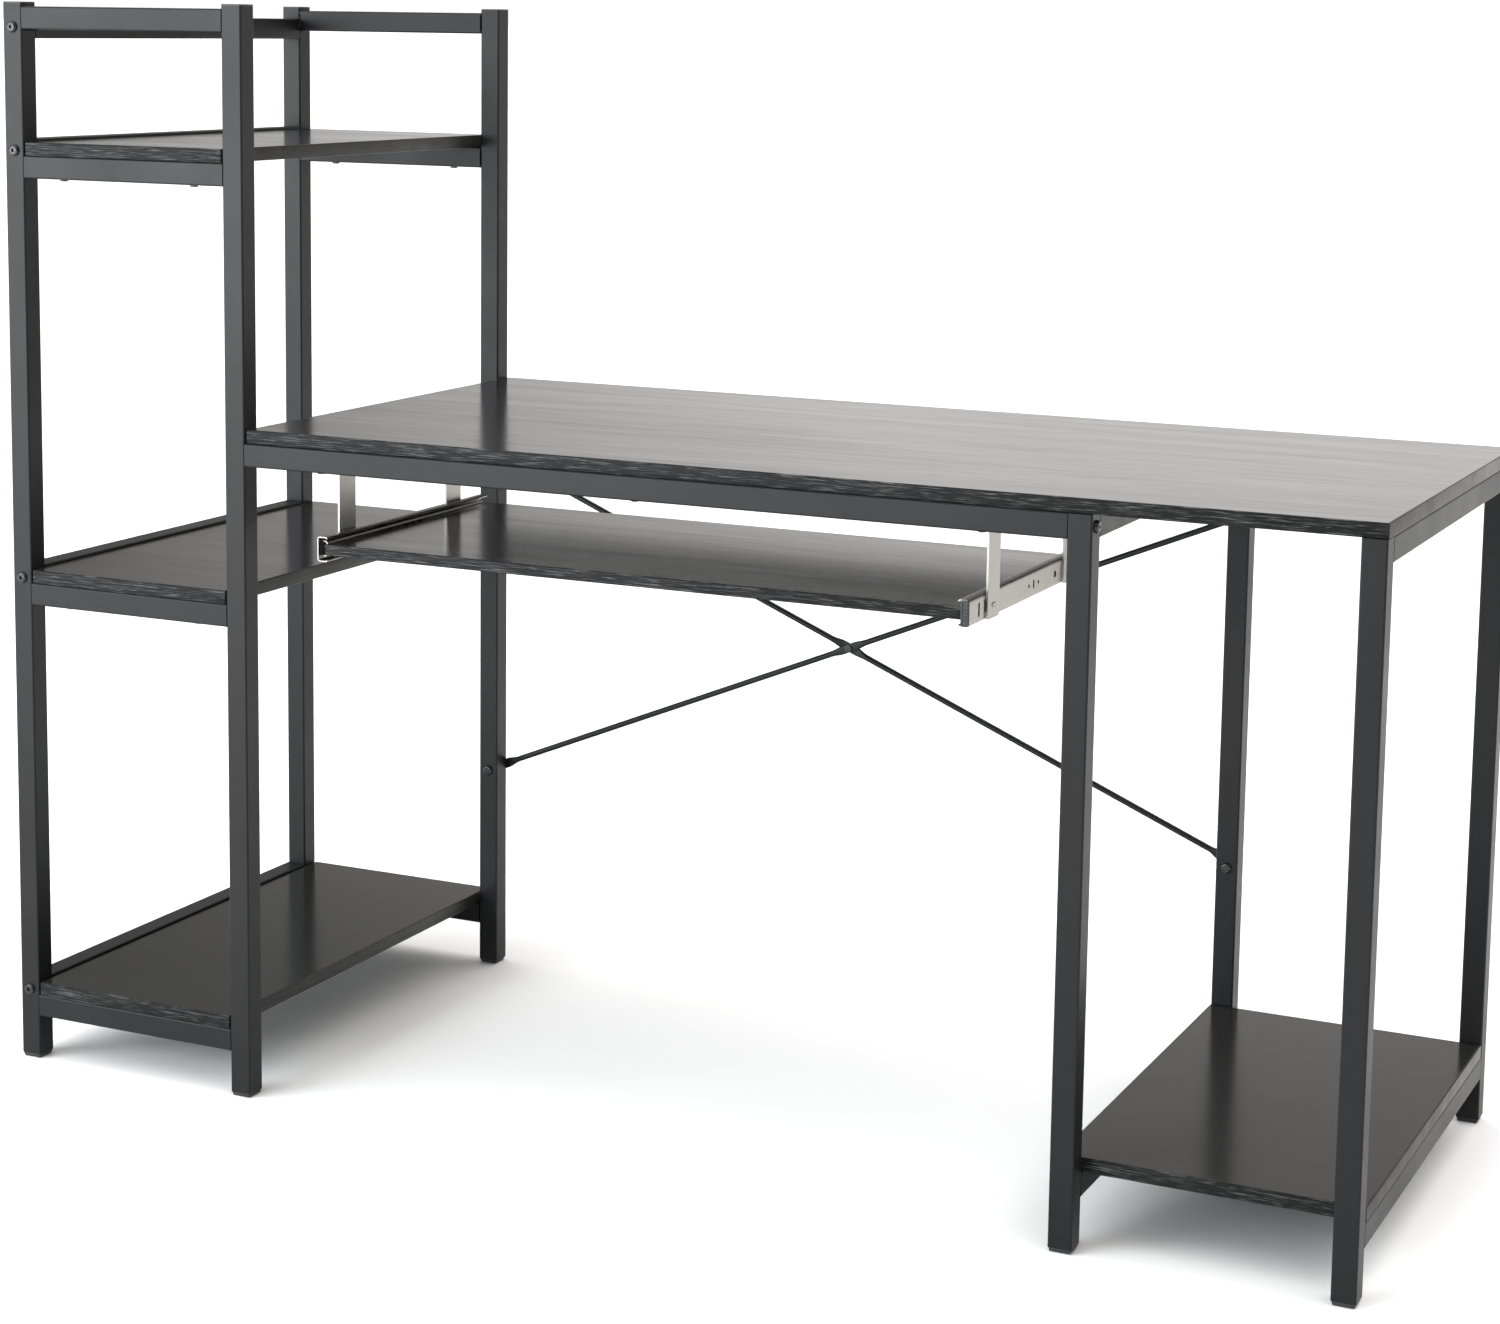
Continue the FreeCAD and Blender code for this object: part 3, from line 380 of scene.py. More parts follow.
def moulded_plastic(finishes):
    """Black moulded polyethylene with a fine spark-eroded grain."""
    material, tree, shader = new_material("moulded_black_plastic")
    place = object_coordinates(tree)
    grain = noise_value(tree, place, scale=1400.0, detail=3.0)
    cloud = noise_value(tree, place, scale=60.0, detail=3.0)
    color = shaded(tree, ranged(tree, cloud, NOISE_SPREAD, FULL), finishes.plastic_color, 0.8, 1.5)
    lay_finish(tree, shader, color, ranged(tree, cloud, NOISE_SPREAD, (0.42, 0.56)))
    bumped(tree, shader, [(grain, 0.25, 0.06 * MM)])
    return material


def polished_steel(finishes):
    """Bearing balls: polished steel under a thin film of grease."""
    material, tree, shader = new_material("greased_ball_steel")
    film = noise_value(tree, object_coordinates(tree), scale=500.0, detail=3.0)
    color = shaded(tree, film, finishes.zinc_color, 0.9, 1.3)
    lay_finish(tree, shader, color, ranged(tree, film, NOISE_SPREAD, (0.05, 0.16)))
    shader.inputs["Metallic"].default_value = 1.0
    bumped(tree, shader, [(film, 0.08, 0.05 * MM)])
    return material


# The record's material slots, then the two bands of the boards
FINISH_MAKERS = {
    "black_powder_coat": powder_coat, "wood_grain_laminate": laminate, "zinc_plate": zinc,
    "black_bolts": black_oxide, "black_plastic": moulded_plastic, "ball_steel": polished_steel,
    "edge_band": edge_band, "plain_band": plain_band,
}
finish = {}


# Meshes -----------------------------------------------------------------------

def add_piece(name, points, faces, body, materials, smooth_angle=SMOOTH_ANGLE, uvs=None,
              indices=None):
    """Makes a mesh piece from points and faces, shades it, and hangs it on its body."""
    mesh = bpy.data.meshes.new(name)
    mesh.from_pydata([tuple(p) for p in points], [], faces)
    if uvs is not None:
        layer = mesh.uv_layers.new(name="UVMap")
        for polygon in mesh.polygons:
            for loop, uv in zip(polygon.loop_indices, uvs[polygon.index]):
                layer.data[loop].uv = uv
    for material in materials:
        mesh.materials.append(material)
    if indices is not None:
        mesh.polygons.foreach_set("material_index", indices)
    mesh.polygons.foreach_set("use_smooth", [True] * len(mesh.polygons))
    mesh.validate()
    facing_out(mesh)
    mesh.set_sharp_from_angle(angle=math.radians(smooth_angle))
    piece = bpy.data.objects.new(name, mesh)
    bpy.context.scene.collection.objects.link(piece)
    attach(piece, body)
    return piece


def body_of(node):
    """Name of the body that a node rides on."""
    return frame["nodes"][node]["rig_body"]


def quarter(steps):
    """Angles of a quarter turn, both ends included."""
    return [math.radians(90 * k / steps) for k in range(steps + 1)]


def spread(start, stop, steps):
    """Numbers from start to stop in equal steps, both ends included."""
    return [start + (stop - start) * k / steps for k in range(steps + 1)]


def raised(rows, base):
    """(inset, depth) rows in millimetres, their depths measured from a base."""
    return [(inset * MM, base + depth * MM) for inset, depth in rows]


def rounded_ring(low, high, inset, round_, steps):
    """Points of a rounded rectangle between two corners (a, b), inset from its outline."""
    radius = max(round_ - inset, SMALLEST_ROUND)
    left, right = low[0] + inset + radius, high[0] - inset - radius
    bottom, top = low[1] + inset + radius, high[1] - inset - radius
    ring = []
    for a, b, start in ((right, top, 0), (left, top, 90), (left, bottom, 180), (right, bottom, 270)):
        for step in range(steps + 1):
            angle = math.radians(start + 90 * step / steps)
            ring.append((a + radius * math.cos(angle), b + radius * math.sin(angle)))
    return ring


def stitched(count, total):
    """Faces between rings of count points each, with a cap on the first ring and the last."""
    faces = []
    for row in range(total - 1):
        for k in range(count):
            following = (k + 1) % count
            faces.append((row * count + k, (row + 1) * count + k,
                          (row + 1) * count + following, row * count + following))
    faces.append(tuple(range(count)))
    faces.append(tuple(reversed(range((total - 1) * count, total * count))))
    return faces


def moulded(low, high, round_, profile, depth_axis=2, steps=4):
    """Points and faces of a rounded block whose (inset, depth) profile runs along one axis."""
    flat = [axis for axis in range(3) if axis != depth_axis]
    corners = [[corner[axis] for axis in flat] for corner in (low, high)]
    points = []
    for inset, depth in profile:
        for a, b in rounded_ring(*corners, inset, round_, steps):
            point = [0, 0, 0]
            point[flat[0]], point[flat[1]], point[depth_axis] = a, b, depth
            points.append(tuple(point))
    return points, stitched(4 * (steps + 1), len(profile))


def joined(parts):
    """One list of points and one of faces from several."""
    points, faces = [], []
    for part_points, part_faces in parts:
        start = len(points)
        points += part_points
        faces += [tuple(start + i for i in face) for face in part_faces]
    return points, faces


def facing_out(mesh):
    """Turns every face outwards."""
    work = bmesh.new()
    work.from_mesh(mesh)
    bmesh.ops.recalc_face_normals(work, faces=work.faces)
    work.to_mesh(mesh)
    work.free()


def soften(piece, width):
    """Rounds a piece's hard edges a little, so that they catch the light."""
    bevel = piece.modifiers.new("edge_round", "BEVEL")
    bevel.width = width
    bevel.segments = 2
    bevel.limit_method = "ANGLE"
    bevel.angle_limit = math.radians(BEVEL_ANGLE)
    bevel.harden_normals = True


# Boards -----------------------------------------------------------------------

BOARD_CORNER = 1.6 * MM
BOARD_CORNER_STEPS = 3
EDGE_STEPS = 4
SEAM_GROOVE = 0.12 * MM     # half the width, and the depth, of the hairline seam
SEAM_ROWS = 2               # rows of faces in a seam
BOARD_FINISHES = ("wood_grain_laminate", "edge_band", "plain_band")
LAMINATE, LONG_BAND, END_BAND = range(3)


def board_profile(low_z, high_z, round_, seam):
    """(inset, height) from the seam on the top face, round the edge, to the seam underneath."""
    top = [(seam + SEAM_GROOVE, high_z), (seam, high_z - SEAM_GROOVE), (seam - SEAM_GROOVE, high_z)]
    top += [(round_ - round_ * math.sin(a), high_z - round_ + round_ * math.cos(a))
            for a in quarter(EDGE_STEPS)]
    return top + [(inset, low_z + high_z - z) for inset, z in reversed(top)]


def add_board(node, details):
    """A board with laminate faces, a hairline seam, and a band on its long edges and its ends."""
    low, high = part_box(node)
    seam = details.band_width + details.board_round
    profile = board_profile(low.z, high.z, details.board_round, seam)
    points = [(x, y, z) for inset, z in profile
              for x, y in rounded_ring(low, high, inset, BOARD_CORNER, BOARD_CORNER_STEPS)]
    outline = rounded_ring(low, high, 0, BOARD_CORNER, BOARD_CORNER_STEPS)
    lengths, bands = [0.0], []
    for (x, y), (next_x, next_y) in zip(outline, outline[1:] + outline[:1]):
        lengths.append(lengths[-1] + math.dist((x, y), (next_x, next_y)))
        bands.append(END_BAND if abs(next_y - y) > abs(next_x - x) else LONG_BAND)
    heights = [z - inset for inset, z in profile]
    rows = len(profile) - 1
    uvs, indices = [], []
    for row in range(rows):
        for k, band in enumerate(bands):
            uvs.append([(lengths[k], heights[row]), (lengths[k], heights[row + 1]),
                        (lengths[k + 1], heights[row + 1]), (lengths[k + 1], heights[row])])
            indices.append(band if SEAM_ROWS <= row < rows - SEAM_ROWS else LAMINATE)
    faces = stitched(len(outline), len(profile))
    for cap in faces[-2:]:
        uvs.append([points[i][:2] for i in cap])
        indices.append(LAMINATE)
    board = add_piece(f"{node}_finished", points, faces, body_of(node),
                      [finish[name] for name in BOARD_FINISHES], uvs=uvs, indices=indices)
    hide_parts(node)


# Pressed brace rods -----------------------------------------------------------

EYE_RADIUS = 7.5 * MM
EYE_INSET = 5.5 * MM            # an eye's centre from the corner of the rod's box
NECK = (16 * MM, 30 * MM)       # from an eye's centre: where it is still flat, and where it is round
FLAT_HALF_WIDTH = 6 * MM
FLAT_THICKNESS = 2.5 * MM
CROSSING = (8 * MM, 24 * MM)    # from the rod's middle: flat against the other rod, and round again
CROSSING_WIDENING = 1.6 * MM
ROUND_POWER, SQUARE_POWER = 2, 6    # of the section's curve
TIP_HALF_WIDTH = 0.3 * MM
TIP_THINNING = 0.75
ROD_SIDES = 24
DENSE_END = 44 * MM             # closely spaced rings up to here
DENSE_MIDDLE = 30 * MM          # and from here before the middle


def blend(value, start, end):
    """0 before start, 1 after end, smooth between."""
    share = min(1.0, max(0.0, (value - start) / (end - start)))
    return share * share * (3 - 2 * share)


def rod_rings(length):
    """Distances along a rod from its first eye, at which it gets a ring of points."""
    half = [-EYE_RADIUS * math.cos(a) for a in quarter(6)]
    half += spread(0, EYE_RADIUS, 3)[1:] + spread(EYE_RADIUS, DENSE_END, 14)[1:]
    half += spread(DENSE_END, length / 2 - DENSE_MIDDLE, 12)[1:-1]
    half += spread(length / 2 - DENSE_MIDDLE, length / 2, 14)
    return half + [length - distance for distance in reversed(half[:-1])]


def rod_section(distance, length, radius, in_front):
    """(half width, half thickness, depth of the middle, power) at a distance along the rod."""
    end = min(distance, length - distance)
    pressed = 1 - blend(end, *NECK)
    crossing = 1 - blend(abs(distance - length / 2), *CROSSING)
    width = radius + (FLAT_HALF_WIDTH - radius) * pressed + CROSSING_WIDENING * crossing
    flattened = radius + (FLAT_THICKNESS / 2 - radius) * pressed
    thickness = flattened + (radius / 2 - flattened) * crossing
    depth = flattened + (radius * (0.5 if in_front else 1.5) - flattened) * crossing
    if end < EYE_RADIUS:
        eye = math.sqrt(max(EYE_RADIUS * EYE_RADIUS - end * end, 0))
        width = max(eye, width if end > 0 else 0, TIP_HALF_WIDTH)
    if end <= -EYE_RADIUS * 0.999:
        thickness *= TIP_THINNING
    return width, thickness, depth, ROUND_POWER + (SQUARE_POWER - ROUND_POWER) * max(pressed, crossing)


def add_rod(node, rises):
    """A round rod pressed flat at its eyes and where it crosses the other rod."""
    low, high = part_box(node)
    start_z, stop_z = low.z + EYE_INSET, high.z - EYE_INSET
    if not rises:
        start_z, stop_z = stop_z, start_z
    start, stop = Vector((low.x + EYE_INSET, 0, start_z)), Vector((high.x - EYE_INSET, 0, stop_z))
    along = (stop - start).normalized()
    across = Vector((-along.z, 0, along.x))
    length = (stop - start).length
    rings = rod_rings(length)
    points, faces = [], []
    for distance in rings:
        width, thickness, depth, power = rod_section(distance, length, (high.y - low.y) / 2, rises)
        for k in range(ROD_SIDES):
            angle = 2 * math.pi * k / ROD_SIDES
            c, s = math.cos(angle), math.sin(angle)
            out = math.copysign(abs(c) ** (2 / power), c) * width
            deep = math.copysign(abs(s) ** (2 / power), s) * thickness
            spot = start + along * distance + across * out
            points.append(spot + Vector((0, low.y + depth + deep, 0)))
    for first in range(0, len(points) - ROD_SIDES, ROD_SIDES):
        for k in range(ROD_SIDES):
            here, there = first + k, first + (k + 1) % ROD_SIDES
            faces.append((here, there, there + ROD_SIDES, here + ROD_SIDES))
    faces.append(tuple(reversed(range(ROD_SIDES))))
    faces.append(tuple(range(len(points) - ROD_SIDES, len(points))))
    rod = add_piece(f"{node}_pressed", points, faces, body_of(node),
                    [finish["black_powder_coat"]])
    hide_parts(node)


# Tray brackets and slides -----------------------------------------------------

BRACKET_WALL = 2.5 * MM
BRACKET_CORNER = 4 * MM
BRACKET_ROUND = 0.25 * MM
LUG_HALF_WIDTH = 4.5 * MM
LUG_HEIGHTS = (10.5 * MM, 15.5 * MM)    # above the bracket's lower end
LUG_ROOT, LUG_PROUD = 0.5 * MM, 0.95 * MM    # into the bracket's face, and out of it
LUG_ROUND = 1.2 * MM
LUG_ROWS = [(0.15, -0.45), (0.6, 0), (1.4, -0.35)]    # (inset, millimetres out from its tip)
OUTER_WALL, OUTER_HEM = 1.2 * MM, 1.1 * MM
INNER_WALL, INNER_HEM = 1.1 * MM, 0.0
RACE_BEND = 2.6 * MM
LIP_START, LIP_MIDDLE = 2.4 * MM, 1.2 * MM    # from the lip's edge
WEB_SHARE = 0.45            # the web's middle points, as a share of the half height
HEM_SHARE = 0.3             # how much of the hem's drop the lip's middle has
CHANNEL_ROUND = 0.15 * MM
SLOT_REACH = 4 * MM
SLOT_END = 0.98             # the ends' radius as a share of half the width
# Millimetres: distance from the channel's front, width, bottom and top from its middle
SLIDE_SLOTS = [(26, 4, -7.3, 7.3), (42, 4, -5.4, 7.5), (168, 4, -2, 2), (182, 4, -4.5, 4.5),
               (196, 4, -2, 2), (247, 7, -3.5, 3.5), (318, 5, -2.5, 2.5)]
# Millimetres: inset, depth behind the bumper's front
BUMPER_RIM = [(0.35, 1.5), (0, 1.4), (0, 0.8), (0.25, 0.25), (0.8, 0), (1.5, 0), (1.8, 0.3), (1.9, 0.9)]
BUMPER_ROUND = 1.6 * MM
RIB_ROWS = [(0, 1), (0.1, 0.4), (0.45, 0.15)]
RIB_PLACES = (0.22, 0.36, 0.5, 0.64, 0.78)    # shares of the bumper's height
RIB_INSET = 1.7 * MM
RIB_HALF_HEIGHT = 0.7 * MM
RIB_ROUND = 0.5 * MM


def bent_strip(path, half_widths, thickness, middle_y):
    """Points and faces of a flat strip that follows a path of (x, z), wide along Y."""
    points = []
    for index, (x, z) in enumerate(path):
        before, after = path[max(index - 1, 0)], path[min(index + 1, len(path) - 1)]
        along = Vector((after[0] - before[0], after[1] - before[1])).normalized()
        off = Vector((-along.y, along.x)) * thickness / 2
        wide = half_widths[index]
        for side, y in ((1, -wide), (1, wide), (-1, wide), (-1, -wide)):
            points.append((x + side * off.x, middle_y + y, z + side * off.y))
    return points, stitched(4, len(path))


def corner_taper(distance, radius):
    """How much a strip's rounded corner takes off its half width, this far from its end."""
    if distance >= radius:
        return 0.0
    return radius - math.sqrt(radius * radius - (radius - distance) ** 2)


def add_bracket(row, side, details):
    """Bent strip from the desktop down to the slide, with a clinched lug over the slide."""
    node = f"slide_bracket_{row}_{side}"
    low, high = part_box(node)
    outward = SIDES[side]
    inner, outer = (low.x, high.x) if outward > 0 else (high.x, low.x)
    upright = inner + outward * BRACKET_WALL / 2
    bend = details.bracket_bend + BRACKET_WALL / 2
    level = high.z - BRACKET_WALL / 2
    turn = quarter(8)
    ends = spread(0, BRACKET_CORNER, 5)
    path = [(upright, low.z + d) for d in ends]
    path += [(upright + outward * bend * (1 - math.cos(a)), level - bend + bend * math.sin(a))
             for a in turn]
    path += [(outer - outward * d, level) for d in reversed(ends)]
    half = (high.y - low.y) / 2
    tapered = [half - corner_taper(d, BRACKET_CORNER) for d in ends]
    middle_y = (low.y + high.y) / 2
    strip = bent_strip(path, tapered + [half] * len(turn) + tapered[::-1], BRACKET_WALL, middle_y)
    face = inner + outward * BRACKET_WALL
    tip = face + outward * LUG_PROUD
    lug_rows = [(0, face - outward * LUG_ROOT)]
    lug_rows += [(inset * MM, tip + outward * out * MM) for inset, out in LUG_ROWS]
    bottom, top = (low.z + height for height in LUG_HEIGHTS)
    lug = moulded((face, middle_y - LUG_HALF_WIDTH, bottom), (tip, middle_y + LUG_HALF_WIDTH, top),
                  LUG_ROUND, lug_rows, depth_axis=0)
    points, faces = joined([strip, lug])
    bracket = add_piece(f"{node}_bent", points, faces, body_of(node),
                        [finish["zinc_plate"]])
    soften(bracket, BRACKET_ROUND)
    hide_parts(node)


def channel_line(depth, half_height, wall, hem):
    """Middle line of a rolled channel as (depth, height): web, ball race, and a hemmed lip."""
    web = wall / 2
    race = half_height - wall / 2
    line = [(web, 0), (web, half_height * WEB_SHARE), (web, race - RACE_BEND)]
    line += [(web + RACE_BEND - RACE_BEND * math.cos(a), race - RACE_BEND + RACE_BEND * math.sin(a))
             for a in quarter(4)[1:]]
    lip = depth - wall / 2
    line += [(lip - LIP_START, race), (lip - LIP_MIDDLE, race - hem * HEM_SHARE), (lip, race - hem)]
    return [(d, -h) for d, h in reversed(line[1:])] + line


def thickened(line, wall):
    """Closed outline of a line of points, made as thick as the wall."""
    sides = ([], [])
    for index, (a, b) in enumerate(line):
        before, after = line[max(index - 1, 0)], line[min(index + 1, len(line) - 1)]
        along = Vector((after[0] - before[0], after[1] - before[1])).normalized()
        for side, sign in zip(sides, (1, -1)):
            side.append((a - sign * along.y * wall / 2, b + sign * along.x * wall / 2))
    return sides[0] + sides[1][::-1]


def channel_piece(node, name, wall, hem, web_at_high):
    """A rolled channel in a node's box, along Y, with its web at one side."""
    low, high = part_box(node)
    middle = (low.z + high.z) / 2
    outline = thickened(channel_line(high.x - low.x, (high.z - low.z) / 2, wall, hem), wall)
    web, sign = (high.x, -1) if web_at_high else (low.x, 1)
    points = []
    for y in (low.y, high.y):
        points += [(web + sign * depth, y, middle + height) for depth, height in outline]
    piece = add_piece(name, points, stitched(len(outline), 2), body_of(node),
                      [finish["zinc_plate"]])
    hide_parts(node)
    return piece


def cut_slots(piece, web_x, front_y, middle_z):
    """Cuts the slots through the web of an outer channel."""
    parts = []
    for distance, width, bottom, top in ([value * MM for value in slot] for slot in SLIDE_SLOTS):
        low = (web_x - SLOT_REACH, front_y + distance - width / 2, middle_z + bottom)
        high = (web_x + SLOT_REACH, front_y + distance + width / 2, middle_z + top)
        parts.append(moulded(low, high, width / 2 * SLOT_END, [(0, low[0]), (0, high[0])],
                             depth_axis=0, steps=6))
    points, faces = joined(parts)
    mesh = bpy.data.meshes.new("slot_cutter")
    mesh.from_pydata(points, [], faces)
    facing_out(mesh)
    cutter = bpy.data.objects.new("slot_cutter", mesh)
    bpy.context.scene.collection.objects.link(cutter)
    cut = piece.modifiers.new("slots", "BOOLEAN")
    cut.operation = "DIFFERENCE"
    cut.solver = "EXACT"
    cut.object = cutter
    bpy.context.view_layer.update()
    evaluated = piece.evaluated_get(bpy.context.evaluated_depsgraph_get())
    finished = bpy.data.meshes.new_from_object(evaluated)
    piece.modifiers.clear()
    piece.data = finished
    finished.set_sharp_from_angle(angle=math.radians(SMOOTH_ANGLE))
    bpy.data.objects.remove(cutter)


def add_slides(side):
    """Fixed outer channel and sliding inner channel of one ball-bearing slide."""
    right = side == "right"
    node = f"slide_outer_{side}"
    outer = channel_piece(node, f"{node}_rolled", OUTER_WALL, OUTER_HEM, web_at_high=right)
    low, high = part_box(node)
    cut_slots(outer, high.x if right else low.x, low.y, (low.z + high.z) / 2)
    node = f"slide_inner_{side}"
    inner = channel_piece(node, f"{node}_rolled", INNER_WALL, INNER_HEM, web_at_high=not right)
    for channel in (outer, inner):
        soften(channel, CHANNEL_ROUND)


def add_bumper():
    """Ribbed plastic bumper in the front end of the right slide."""
    node = "slide_bumper"
    low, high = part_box(node)
    front = low.y
    rim_rows = [(BUMPER_RIM[0][0] * MM, high.y)] + raised(BUMPER_RIM, front)
    parts = [moulded(low, high, BUMPER_ROUND, rim_rows, depth_axis=1)]
    for place in RIB_PLACES:
        z = low.z + place * (high.z - low.z)
        parts.append(moulded((low.x + RIB_INSET, front, z - RIB_HALF_HEIGHT),
                             (high.x - RIB_INSET, front, z + RIB_HALF_HEIGHT),
                             RIB_ROUND, raised(RIB_ROWS, front), depth_axis=1))
    points, faces = joined(parts)
    bumper = add_piece("slide_bumper_ribbed", points, faces, body_of(node),
                       [finish["black_plastic"]])
    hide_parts(node)


# Caps, glides and welds -------------------------------------------------------

# Millimetres: inset from the post's sides, height above the level named
CAP_PLUG = [(0.6, -6), (0.6, 0), (0.12, 0), (0, 0.3)]                           # post's top
CAP_CROWN = [(0, -0.8), (0.12, -0.35), (0.5, -0.1), (1.4, -0.05), (9, 0)]       # cap's top
GLIDE_SOLE = [(6.3, 0.5), (4.5, 0.05), (3.3, 0), (2.4, 0.35), (1.6, 1.3), (1.3, 2.2)]   # floor
GLIDE_FLANGE = [(1.3, -0.9), (0.4, -0.75), (0.4, 0), (1.9, 0), (1.9, 8)]        # post's foot
CAP_ROUND = 2 * MM
GLIDE_ROUND = 2.2 * MM
BEAD_STEPS = 44
BEAD_TIP, BEAD_SWELL = 0.25, 9      # size at the tips, and how fast it grows from there
RIPPLE, RIPPLES = 0.14, 11
WAVER, WAVER_RATE = 0.05, 23
BEAD_HOLLOW = 0.22


def posts():
    """Names of all the posts, in order."""
    return sorted(name for name in frame["nodes"] if "_post_" in name)


def add_caps():
    """Crowned plastic caps on the tower's posts."""
    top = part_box("post_caps")[1].z
    parts = []
    for post in posts():
        low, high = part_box(post)
        if post.startswith("tower"):
            profile = raised(CAP_PLUG, high.z) + raised(CAP_CROWN, top)
            parts.append(moulded(low, high, CAP_ROUND, profile))
    points, faces = joined(parts)
    caps = add_piece("post_caps_crowned", points, faces, body_of("post_caps"),
                     [finish["black_plastic"]], smooth_angle=CROWN_ANGLE)
    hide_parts("post_caps")


def add_glides():
    """Plastic glides under every post, with a dished sole and a parting flange."""
    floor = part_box("foot_glides")[0].z
    parts = []
    for post in posts():
        low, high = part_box(post)
        profile = raised(GLIDE_SOLE, floor) + raised(GLIDE_FLANGE, low.z)
        parts.append(moulded(low, high, GLIDE_ROUND, profile))
    points, faces = joined(parts)
    glides = add_piece("foot_glides_moulded", points, faces, body_of("foot_glides"),
                       [finish["black_plastic"]], smooth_angle=CROWN_ANGLE)
    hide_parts("foot_glides")


def weld_bead(start, stop, first, second, size):
    """Points and faces of a rippled fillet weld along an inner corner between two faces."""
    points = []
    for share in spread(0, 1, BEAD_STEPS):
        swell = min(1.0, min(share, 1 - share) * BEAD_SWELL + BEAD_TIP)
        ripple = 1 + RIPPLE * math.sin(2 * math.pi * share * RIPPLES) + WAVER * math.sin(share * WAVER_RATE)
        radius = size * swell * ripple
        spot = start.lerp(stop, share)
        points.append(tuple(spot))
        for a in quarter(3):
            hollow = 1 - BEAD_HOLLOW * math.sin(2 * a)
            points.append(tuple(spot + (first * math.cos(a) + second * math.sin(a)) * radius * hollow))
    return points, stitched(5, BEAD_STEPS + 1)


def joint_beads(rail, size):
    """Welds under a rail and on its inner side, at both ends."""
    low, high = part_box(rail)
    runs_x = (high.x - low.x) > (high.y - low.y)
    margin = 2.2 * MM
    beads = []
    for end, inward in ((low, 1), (high, -1)):
        if runs_x:
            into = Vector((inward, 0, 0))
            under = (Vector((end.x, low.y + margin, low.z)), Vector((end.x, high.y - margin, low.z)))
            inner_y, out = (high.y, 1) if low.y < 0 else (low.y, -1)
            side = (Vector((end.x, inner_y, low.z + margin)), Vector((end.x, inner_y, high.z - margin)))
            beads.append(weld_bead(*side, into, Vector((0, out, 0)), size))
        else:
            into = Vector((0, inward, 0))
            under = (Vector((low.x + margin, end.y, low.z)), Vector((high.x - margin, end.y, low.z)))
        beads.append(weld_bead(*under, into, Vector((0, 0, -1)), size))
    return beads


def add_welds(details):
    """Fillet welds of the tower's front and back ladders and of the two side frames."""
    groups = {"tower_welds": ("tower_front_rail", "tower_back_rail"),
              "side_frame_welds": ("middle_frame_rail", "right_frame_rail")}
    for name, starts in groups.items():
        rails = sorted(node for node in frame["nodes"] if node.startswith(starts))
        points, faces = joined([bead for rail in rails for bead in joint_beads(rail, details.weld_radius)])
        add_piece(name, points, faces, body_of(rails[0]),
                  [finish["black_powder_coat"]], smooth_angle=BEAD_ANGLE)


# Stage ------------------------------------------------------------------------

SENSOR_WIDTH = 36           # millimetres
FLOOR_REACH = 400.0
FLOOR_CLOUD = 0.8           # clouds per metre
BEHIND, FRONT_LEFT, UP = Vector((-0.05, 1, 0)), Vector((-0.8, -0.6, 0.1)), Vector((0, 0, 1))
AMBIENT_LEVEL = 0.22
FRONT_LEFT_LEVEL = 0.8
ABOVE_LEVEL = 2.5
HORIZON_LEVEL = 1.06
COOL_TINT, WARM_TINT = (0.93, 0.98, 1.0), (1.0, 0.985, 0.97)
# Name, place, target, (width, height), watts, colour
LAMPS = [
    ("key_light", (-3.2, -3.4, 3.0), (-0.3, 0, 0.7), (2.6, 2.6), 45, (0.94, 0.98, 1.0)),
    ("front_softbox", (-2.3, -3.3, 1.15), (-0.9, 0, 0.95), (3.4, 1.9), 160, (0.90, 0.97, 1.0)),
    ("side_light", (3.4, 0.6, 2.4), (0.6, 0, 0.5), (2.2, 2.2), 16, (1.0, 0.96, 0.92)),
]


def add_camera(studio):
    """The camera, turned and dipped, then rolled about its own axis."""
    camera = bpy.data.objects.new("camera", bpy.data.cameras.new("camera"))
    bpy.context.scene.collection.objects.link(camera)
    camera.data.sensor_width = SENSOR_WIDTH
    camera.data.lens = studio.camera_lens
    camera.data.shift_y = studio.camera_rise
    camera.location = studio.camera_place
    level = math.pi / 2 - studio.camera_dip
    turned = Euler((level, 0, studio.camera_turn)).to_matrix()
    rolled = Euler((0, 0, studio.camera_roll)).to_matrix()
    camera.rotation_euler = (turned @ rolled).to_euler()
    bpy.context.scene.camera = camera


def add_floor(studio):
    """A wide pale floor with the faintest unevenness."""
    mesh = bpy.data.meshes.new("studio_floor")
    corners = [(x * FLOOR_REACH, y * FLOOR_REACH, 0) for x, y in ((-1, -1), (1, -1), (1, 1), (-1, 1))]
    mesh.from_pydata(corners, [], [(0, 1, 2, 3)])
    floor = bpy.data.objects.new("studio_floor", mesh)
    bpy.context.scene.collection.objects.link(floor)
    material, tree, shader = new_material("studio_floor")
    cloud = noise_value(tree, object_coordinates(tree), scale=FLOOR_CLOUD)
    tree.links.new(shaded(tree, cloud, studio.floor_color, 0.99, 1.01), shader.inputs["Base Color"])
    shader.inputs["Roughness"].default_value = 1.0
    shader.inputs["Specular IOR Level"].default_value = 0.0
    mesh.materials.append(material)


